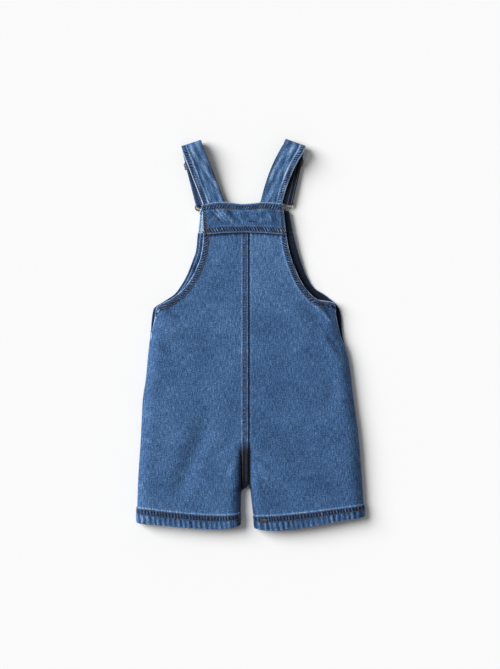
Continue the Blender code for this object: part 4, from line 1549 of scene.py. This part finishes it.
@dataclass
class Band:
    """A straight band of doubled cloth: the yoke of the back, or the band of the bib.

    The end shading darkens its left and right ends as painted shade, and below 0 lightens them as
    painted light.
    """

    node: str
    edges: Sequence[BandEdge]
    level: float
    thickness: float
    rows_from_top: tuple[float, ...]
    rows_from_bottom: tuple[float, ...]
    rows_from_sides: tuple[float, ...]
    creases: Sequence[Fold]
    end_shading: tuple[float, float]
    sewn_face: Face
    rests_on: Sequence[str]
    flat: tuple[float, float]
    area: float
    cloth: Cloth = field(init=False)
    width: float = field(init=False)
    height: float = field(init=False)
    from_top: np.ndarray = field(init=False)
    from_left: np.ndarray = field(init=False)

    def shape(self) -> None:
        """Work out the band's cloth."""
        smoothing = 30
        keys = np.linspace(0.0, 1.0, len(self.edges))
        dense = np.linspace(0.0, 1.0, 400)
        outline = [np.interp(dense, keys, spread([getattr(edge, name) for edge in self.edges]))
                   for name in BandEdge._fields]
        kernel = np.hanning(2 * smoothing + 1)
        kernel = kernel / kernel.sum()
        outline = [np.convolve(np.pad(values, smoothing, mode="reflect", reflect_type="odd"),
                               kernel, mode="valid") for values in outline]
        width = outline[0][-1] - outline[0][0]
        height = float(np.mean(outline[1] - outline[3]))
        edge = spread(EDGE_STEPS)
        across = np.concatenate((edge, np.arange(2.4, width - 2.4, 1.0), width - edge[::-1]))
        down = np.concatenate((edge, np.arange(2.4, height - 2.4, 1.0), height - edge[::-1]))
        u = (across / width)[None, :]
        v = (down / height)[:, None]
        x_top, y_top, x_bottom, y_bottom = (
            np.interp(u[0], dense, values)[None, :] for values in outline)
        x = x_top + (x_bottom - x_top) * v
        y = y_top + (y_bottom - y_top) * v
        from_top = v * height + 0.0 * u
        from_bottom = height - from_top
        from_left = u * width + 0.0 * v
        from_side = np.minimum(from_left, width - from_left)

        half = self.thickness / 2.0
        rounding = round_edge(from_top, half) * round_edge(from_bottom, half)
        rounding = rounding * round_edge(from_side, half)
        thickness = np.full_like(x, self.thickness)
        inside = ease(0.5, 5.0, np.minimum(from_side, np.minimum(from_top, from_bottom)))
        creases = fold_height(self.creases, x, y)
        relief = inside * (creases + 0.12 * uneven(x, y, 6.0, 71))
        wear_and_shade = inside * (1.5 * creases + 0.3 * uneven(x, y, 7.0, 72) - 0.15)
        # Painted shade darkens an end, and below 0 painted light lightens it
        left_shading, right_shading = self.end_shading
        wear_and_shade -= left_shading * (1.0 - ease(0.04, 0.2, u)) + right_shading * ease(0.8, 0.96, u)
        for rows, distance, along, seed in (
                (self.rows_from_top, from_top, x, 73), (self.rows_from_bottom, from_bottom, x, 75),
                (self.rows_from_sides, from_side, y, 77)):
            ticks = ripple(along + 0.6 * distance, RIPPLE_PITCH, seed)
            between = band_of(distance, rows[0] + 0.8, rows[-1] - 0.8, 0.8)
            relief += 0.3 * between * ticks
            wear_and_shade += (1.5 * ticks - 0.6) * between
            wear_and_shade += 0.45 * ridge(distance, rows[-1] + 1.7, 1.0) * (0.7 + 0.5 * ticks)
            wear_and_shade += 0.9 * ridge(distance, 0.3, 0.8)
            # Painted shade beside each row of stitches, with the groove that the thread pulls in
            for sewn in rows:
                relief -= 0.18 * ridge(distance, sewn, 0.6)
                wear_and_shade -= 0.6 * ridge(distance, sewn, 0.8)
        self.width = width
        self.height = height
        self.from_top = from_top[:, 0]
        self.from_left = from_left[0]
        self.cloth = Cloth(f"{self.node}_cloth", np.stack((x, y, np.full_like(x, self.level)), axis=2),
                           thickness, np.stack((x, y), axis=2), rounding, relief, wear_and_shade, calm_normals=2)

    def sew(self) -> Stitching:
        """Sew along the band's edges."""
        cloth = self.cloth
        rows, columns = cloth.thickness.shape
        stitching = Stitching(f"{self.node}_stitches")
        span = np.arange(2, columns - 2).astype(float)
        for sewn in (*self.rows_from_top, *(self.height - row for row in self.rows_from_bottom)):
            row = float(np.interp(sewn, self.from_top, np.arange(rows)))
            stitching.sew(*cloth.at(np.full_like(span, row), span, self.sewn_face))
        span = np.arange(2, rows - 2).astype(float)
        for row in self.rows_from_sides:
            for sewn in (row, self.width - row):
                column = float(np.interp(sewn, self.from_left, np.arange(columns)))
                stitching.sew(*cloth.at(span, np.full_like(span, column), self.sewn_face))
        return stitching

    def make(self, garment: Garment) -> None:
        """Build the band and its stitches."""
        self.shape()
        piece = self.cloth.make(garment.denim, self.node)
        stitches = self.sew().make(garment.thread)


@dataclass
class Strap:
    """A shoulder strap of doubled cloth, folded over and run round its hook and slider."""

    side: Side
    flat: tuple[float, float]
    under_dye_and_shade: float
    tuck_stations: int = 10
    top_stations: int = 84
    fold_stations: int = 26
    under_stations: int = 76
    loop_stations: int = 12
    return_stations: int = 56
    outer_rows: tuple[float, float] = (1.7, 6.6)
    inner_row: float = 2.4
    cloth: Cloth = field(init=False)
    outer: np.ndarray = field(init=False)

    def stations(self) -> tuple[np.ndarray, np.ndarray]:
        """Centre line of the strap and its direction in plan.

        It starts under the yoke, folds over at the shoulder, runs down beneath, turns
        round the bar of the hook and ends past the slider.

        Returns:
            The places, and the headings in plan.
        """
        route = STRAP_ROUTES[self.side]
        yoke, halfway, fold, hook = (spread(place) for place in route[:4])
        top_z = MAIN_PLY_Z + 2.0 * FOLD_RADIUS
        up_under = (fold - hook) / np.linalg.norm(fold - hook)
        up_top = (fold - halfway) / np.linalg.norm(fold - halfway)
        turn = fold - FOLD_RADIUS * (up_under + up_top) / 2.0
        leave = (halfway - yoke) / np.linalg.norm(halfway - yoke)
        control = 2.0 * halfway - (yoke + turn) / 2.0
        places: list[tuple[np.ndarray, float]] = []
        headings: list[np.ndarray] = []
        for distance in np.linspace(-STRAP_TUCK, 0.0, self.tuck_stations)[:-1]:
            places.append((yoke + leave * distance, TUCK_Z))
            headings.append(leave)
        for t in np.linspace(0.0, 1.0, self.top_stations)[:-1]:
            place = (1.0 - t) ** 2 * yoke + 2.0 * t * (1.0 - t) * control + t * t * turn
            heading = 2.0 * (1.0 - t) * (control - yoke) + 2.0 * t * (turn - control)
            lift = float(ease(0.0, 1.1, t) / ease(0.0, 1.1, 1.0))
            places.append((place, TUCK_Z + (top_z - TUCK_Z) * lift))
            headings.append(heading)
        for share in np.linspace(0.0, 1.0, self.fold_stations):
            angle = math.pi * (0.5 - share)
            heading = up_top + (up_under - up_top) * share
            places.append((turn + FOLD_RADIUS * math.cos(angle) * heading,
                           MAIN_PLY_Z + FOLD_RADIUS * (1.0 + math.sin(angle))))
            headings.append(heading)
        for t in np.linspace(0.0, 1.0, self.under_stations)[1:]:
            places.append((turn + (hook - turn) * t, MAIN_PLY_Z))
            headings.append(up_under)
        radius = (RETURN_PLY_Z - MAIN_PLY_Z) / 2.0
        for angle in np.linspace(0.0, math.pi, self.loop_stations)[1:]:
            places.append((hook - up_under * radius * math.sin(angle),
                           HOOK_Z - radius * math.cos(angle)))
            headings.append(up_under)
        drop = RETURN_PLY_Z - STRAP_PLY / 2 - HOOK_Z - SLIDER_THICKNESS / 2 - SEAM_GAP
        reach = route.slider_distance + RETURN_PAST_SLIDER
        for distance in np.linspace(0.0, reach, self.return_stations)[1:]:
            sink = drop * float(ease(0.0, route.slider_distance * 0.8, distance))
            places.append((hook + up_under * distance, RETURN_PLY_Z - sink))
            headings.append(up_under)
        line = spread([(*place, height) for place, height in places])
        directions = spread([heading / np.linalg.norm(heading) for heading in headings])
        return line, directions

    def shape(self) -> None:
        """Work out the strap's cloth."""
        line, headings = self.stations()
        steps = np.linalg.norm(np.diff(line, axis=0), axis=1)
        along = np.concatenate(([0.0], np.cumsum(steps)))[:, None]
        edge = spread(EDGE_STEPS)
        middle = np.arange(2.4, STRAP_WIDTH - 2.4, 0.9)
        across = np.concatenate((edge, middle, STRAP_WIDTH - edge[::-1]))
        aside = (across - STRAP_WIDTH / 2.0)[None, :]
        x = line[:, 0:1] + headings[:, 1:2] * aside
        y = line[:, 1:2] - headings[:, 0:1] * aside
        z = line[:, 2:3] + 0.0 * aside
        from_left = across[None, :] + 0.0 * along
        from_right = STRAP_WIDTH - from_left
        outer = from_left if self.side is Side.LEFT else from_right
        inner = STRAP_WIDTH - outer
        half = STRAP_PLY / 2.0
        rounding = round_edge(from_left, half) * round_edge(from_right, half)
        rounding = rounding * round_edge(along, half) * round_edge(along[-1] - along, half)

        ticks = ripple(along + 0.7 * outer, RIPPLE_PITCH, 81 + int(self.side.sign))
        first, second = self.outer_rows
        between = band_of(outer, first + 0.8, second - 0.8, 0.8)
        relief = 0.25 * between * ticks
        wear_and_shade = 0.2 + (1.0 * ticks - 0.55) * between
        wear_and_shade += 2.2 * ridge(outer, 0.1, 0.8)
        wear_and_shade += (1.1 + 0.4 * ticks) * ridge(outer, second + 1.6, 0.8)
        wear_and_shade -= 0.4 * ridge(outer, second + 3.6, 1.2)
        inner_ticks = ripple(along - 0.7 * inner, RIPPLE_PITCH, 91)
        wear_and_shade += 0.3 * band_of(inner, 1.0, 3.6, 1.0) * inner_ticks - 0.8 * ridge(inner, 0.0, 1.0)
        relief += 0.12 * band_of(inner, 0.0, 3.6, 1.0) * inner_ticks
        # Painted shade beside each row of stitches, with the groove that the thread pulls in
        for distance, sewn in ((outer, first), (outer, second), (inner, self.inner_row)):
            relief -= 0.16 * ridge(distance, sewn, 0.6)
            wear_and_shade -= 0.5 * ridge(distance, sewn, 0.8)
        relief += 0.1 * uneven(aside + 0.0 * along, along + 0.0 * aside, 7.0, 93)
        wear_and_shade += 0.6 * uneven(aside + 0.0 * along, 0.2 * along + 0.0 * aside, 3.2, 94)

        # Painted shade along the fold's rim; past it the under run is darker, with muted marks, by its
        # dye and by painted shade under the top run
        rim = along[self.tuck_stations - 1 + self.top_stations - 1 + self.fold_stations // 2]
        wear_and_shade -= 0.9 * ridge(along, rim, 4.0)
        beneath = ease(rim, rim + 6.0, along)
        wear_and_shade = wear_and_shade * (1.0 - 0.7 * beneath) - self.under_dye_and_shade * beneath
        weave = np.stack((aside + 0.0 * along, along + 0.0 * aside), axis=2)
        self.outer = outer[0]
        self.cloth = Cloth(f"strap_{self.side.value}_cloth", np.stack((x, y, z), axis=2),
                           np.full_like(x, STRAP_PLY), weave, rounding, relief, wear_and_shade,
                           lift=-half, calm_normals=1)

    def sew(self) -> Stitching:
        """Sew along the strap's edges, on both faces."""
        cloth = self.cloth
        rows, columns = cloth.thickness.shape
        stitching = Stitching(f"strap_{self.side.value}_stitches")
        span = np.arange(3, rows - 3).astype(float)
        order = np.argsort(self.outer)
        for sewn in (*self.outer_rows, STRAP_WIDTH - self.inner_row):
            column = float(np.interp(sewn, self.outer[order], np.arange(columns)[order]))
            for face in Face:
                stitching.sew(*cloth.at(span, np.full_like(span, column), face))
        return stitching

    def make(self, garment: Garment) -> None:
        """Build the strap and its stitches."""
        self.shape()
        piece = self.cloth.make(garment.denim, f"strap_{self.side.value}")
        stitches = self.sew().make(garment.strap_thread)


@dataclass
class Hardware:
    """The metal of one strap: wire hook, slider and bib button."""

    side: Side

    def place(self, aside: float, down: float) -> tuple[float, float]:
        """Place in plan of a point of the hook, from its bar's middle.

        Args:
            aside: distance from the strap's centre line.
            down: distance past the bar.

        Returns:
            The place.
        """
        route = STRAP_ROUTES[self.side]
        hook = spread(route.hook)
        along = hook - spread(route.fold)
        along = along / np.linalg.norm(along)
        across = spread((-along[1], along[0]))
        x, y = hook + across * aside + along * down
        return float(x), float(y)

    def hook(self, garment: Garment) -> bpy.types.Object:
        """Bend the wire hook: a wide strap bar and a narrow button loop."""
        half = list(HOOK_HALF)
        outline = half + [(-aside, down) for aside, down in half[-2:0:-1]]
        curve = bpy.data.curves.new("hook_wire", "CURVE")
        curve.dimensions = "3D"
        curve.bevel_depth = WIRE / 2 * MM
        curve.bevel_resolution = 5
        curve.resolution_u = 5
        spline = curve.splines.new("NURBS")
        spline.points.add(len(outline) - 1)
        for point, (aside, down) in zip(spline.points, outline):
            x, y = self.place(aside, down)
            point.co = (x * MM, y * MM, HOOK_Z * MM, 1.0)
        spline.order_u = 3
        spline.use_cyclic_u = True
        bent = bpy.data.objects.new("hook_bent", curve)
        bpy.context.scene.collection.objects.link(bent)
        bpy.context.view_layer.update()
        seen = bent.evaluated_get(bpy.context.evaluated_depsgraph_get())
        mesh = bpy.data.meshes.new_from_object(seen)
        bpy.data.objects.remove(bent)
        name = f"hook_{self.side.value}"
        return place_piece(f"{name}_wire", mesh, garment.nickel, name)

    def slider(self, garment: Garment) -> bpy.types.Object:
        """Punch the strap slider: a flat frame with two slots and rounded edges."""
        route = STRAP_ROUTES[self.side]
        half_width = SLIDER_WIDTH / 2.0
        half_height = SLIDER_HEIGHT / 2.0
        slot = (SLIDER_HEIGHT - 3.0 * SLIDER_BAR) / 2.0
        cuts_across = (-half_width, -half_width + SLIDER_BAR, half_width - SLIDER_BAR, half_width)
        cuts_along = (-half_height, -half_height + SLIDER_BAR, -SLIDER_BAR / 2.0,
                      SLIDER_BAR / 2.0, SLIDER_BAR / 2.0 + slot, half_height)
        columns = len(cuts_across) - 1
        rows = len(cuts_along) - 1
        plate = bmesh.new()
        bmesh.ops.create_grid(plate, x_segments=columns, y_segments=rows, size=1.0)
        slots = []
        for face in plate.faces:
            centre = face.calc_center_median()
            column = int((centre.x + 1.0) / 2.0 * columns)
            row = int((centre.y + 1.0) / 2.0 * rows)
            if column == 1 and row in (1, 3):
                slots.append(face)
        for vertex in plate.verts:
            aside = cuts_across[round((vertex.co.x + 1.0) / 2.0 * columns)]
            along = cuts_along[round((vertex.co.y + 1.0) / 2.0 * rows)]
            x, y = self.place(aside, -route.slider_distance + along)
            vertex.co = (x * MM, y * MM, (HOOK_Z + SLIDER_THICKNESS / 2) * MM)
        bmesh.ops.delete(plate, geom=slots, context="FACES")
        bmesh.ops.recalc_face_normals(plate, faces=plate.faces)
        bmesh.ops.solidify(plate, geom=list(plate.faces), thickness=SLIDER_THICKNESS * MM)
        bmesh.ops.recalc_face_normals(plate, faces=plate.faces)
        sharp = [edge for edge in plate.edges if edge.calc_face_angle(0.0) > 0.5]
        bmesh.ops.bevel(plate, geom=sharp, offset=0.5 * MM, offset_type="OFFSET", segments=3,
                        profile=0.5, affect="EDGES", material=-1)
        name = f"slider_{self.side.value}"
        return place_piece(f"{name}_plate", finished("slider", plate), garment.nickel, name)

    def button(self, garment: Garment) -> bpy.types.Object:
        """Turn the bib button: a domed head with a sunk ring, and a shank up to the band."""
        x, y = self.place(0.0, BUTTON_DISTANCE)
        profile = (
            (0.0, 0.35), (4.2, 0.3), (5.2, 0.45), (5.9, 0.1), (6.8, 0.0), (7.7, 0.05),
            (8.3, 0.35), (BUTTON_RADIUS, 0.8), (BUTTON_RADIUS - 0.2, 1.6), (7.6, 2.05),
            (6.9, BUTTON_HEAD), (SHANK_RADIUS + 0.3, BUTTON_HEAD), (SHANK_RADIUS, BUTTON_HEAD + 0.3),
            (SHANK_RADIUS, BIB_Z - SEAM_GAP), (0.0, BIB_Z - SEAM_GAP),
        )
        turned = bmesh.new()
        points = [turned.verts.new(((x + radius) * MM, y * MM, height * MM))
                  for radius, height in profile]
        edges = [turned.edges.new(pair) for pair in zip(points, points[1:])]
        bmesh.ops.spin(turned, geom=points + edges, cent=(x * MM, y * MM, 0.0), axis=(0.0, 0.0, 1.0),
                       angle=2.0 * math.pi, steps=48, use_merge=True)
        bmesh.ops.remove_doubles(turned, verts=turned.verts, dist=0.01 * MM)
        bmesh.ops.recalc_face_normals(turned, faces=turned.faces)
        name = f"button_{self.side.value}"
        return place_piece(f"{name}_cap", finished("button", turned), garment.nickel, name)

    def make(self, garment: Garment) -> None:
        """Build the metal of one strap."""
        self.hook(garment)
        self.slider(garment)
        self.button(garment)


@dataclass
class Studio:
    """The pale floor, the soft light from the upper left and the camera overhead."""

    floor_size: float = 9000.0
    key_angle: float = 42.0
    key_elevation: float = 35.0
    key_bearing: float = 155.0
    key_strength: float = 4.55
    fill_strength: float = 0.23

    def make(self) -> None:
        """Set up the studio."""
        scene = bpy.context.scene
        scene.view_settings.view_transform = "Standard"
        scene.view_settings.look = "None"
        floor = bmesh.new()
        bmesh.ops.create_grid(floor, x_segments=1, y_segments=1, size=self.floor_size / 2.0 * MM)
        mesh = finished("floor", floor)
        mesh.materials.append(MattPaper("matt_paper", "#f4f4f4").material())
        surface = bpy.data.objects.new("floor", mesh)
        surface.location.z = -0.3 * MM
        scene.collection.objects.link(surface)

        key = bpy.data.lights.new("key", "SUN")
        key.energy = self.key_strength
        key.angle = math.radians(self.key_angle)
        lamp = bpy.data.objects.new("key", key)
        bearing = math.radians(self.key_bearing)
        elevation = math.radians(self.key_elevation)
        towards = Vector((math.cos(bearing) * math.cos(elevation),
                          math.sin(bearing) * math.cos(elevation), math.sin(elevation)))
        lamp.rotation_euler = towards.to_track_quat("Z", "Y").to_euler()
        scene.collection.objects.link(lamp)

        world = bpy.data.worlds.new("studio")
        world.use_nodes = True
        world.node_tree.nodes["Background"].inputs["Color"].default_value = (1.0, 1.0, 1.0, 1.0)
        world.node_tree.nodes["Background"].inputs["Strength"].default_value = self.fill_strength
        scene.world = world

        camera = bpy.data.cameras.new("camera")
        camera.lens = LENS
        camera.sensor_width = SENSOR
        distance = VIEW_LENGTH / 2.0 * LENS / (SENSOR / 2.0)
        overhead = bpy.data.objects.new("camera", camera)
        overhead.location = (VIEW_CENTRE[0] * MM, VIEW_CENTRE[1] * MM, (distance + VIEW_PLANE_Z) * MM)
        scene.collection.objects.link(overhead)
        scene.camera = overhead


def main() -> None:
    """Dress the whole garment."""
    logging.basicConfig(level=logging.INFO, format="%(message)s")
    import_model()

    Studio().make()
    garment = Garment(
        denim=WashedDenim("washed_denim", "#0a1322", "#243f66", "#3b608c", "#5c81ac",
                          "#bccbda").material(),
        thread=CottonThread("cotton_topstitch", "#4d4038", "#7d736c").material(),
        strap_thread=CottonThread("cotton_strap_stitch", "#3f4a60", "#8593a8").material(),
        tack_thread=CottonThread("cotton_bar_tack", "#74492f", "#94705a").material(),
        nickel=AntiqueNickel("antique_nickel", "#a9a39b", "#6f6459").material(),
    )
    BackPanel(Side.LEFT, BACK_LEFT_EDGE, LEFT_INNER, FELLED_FLOOR,
              flat=(0.170, 0.425), area=0.0569).make(garment)
    BackPanel(Side.RIGHT, BACK_RIGHT_EDGE, RIGHT_INNER, PLAIN_FLOOR,
              flat=(0.170, 0.425), area=0.0555).make(garment)
    # The fronts' insides are darkened, the right one more as painted shade under the back's edge
    FrontPanel(Side.LEFT, FRONT_LEFT_EDGE, LEFT_INNER, flat=(0.160, 0.416), area=0.0553,
               inside_dye_and_shade=0.6, edge_wear=0.1, row_wear=1.5).make(garment)
    FrontPanel(Side.RIGHT, FRONT_RIGHT_EDGE, RIGHT_INNER, flat=(0.165, 0.418), area=0.0549,
               inside_dye_and_shade=1.6, edge_wear=0.9, row_wear=0.2).make(garment)
    Band("back_yoke", YOKE_EDGES, YOKE_Z, DOUBLE, rows_from_top=(3.2, 8.8),
         rows_from_bottom=(1.8, 8.0), rows_from_sides=(2.6, 7.0), creases=YOKE_CREASES,
         end_shading=(0.0, 0.0), sewn_face=Face.UPPER,
         rests_on=("back_left_cloth", "back_right_cloth"), flat=(0.1188, 0.0450),
         area=0.00515).make(garment)
    # The band's right end gets painted shade and its left end painted light
    Band("front_band", BIB_BAND_EDGES, BIB_Z, BAND_PLY, rows_from_top=(2.0, 7.0),
         rows_from_bottom=(2.0,), rows_from_sides=(2.4,), creases=(),
         end_shading=(-1.0, 1.7), sewn_face=Face.LOWER,
         rests_on=("button_left_cap", "button_right_cap"), flat=(0.1333, 0.0332),
         area=0.00428).make(garment)
    # The under runs are darkened by their dye and by painted shade, the right one more
    for side, under_dye_and_shade in ((Side.LEFT, 0.7), (Side.RIGHT, 2.0)):
        Hardware(side).make(garment)
        Strap(side, flat=(0.030, 0.277), under_dye_and_shade=under_dye_and_shade).make(garment)


if __name__ == "__main__":
    main()
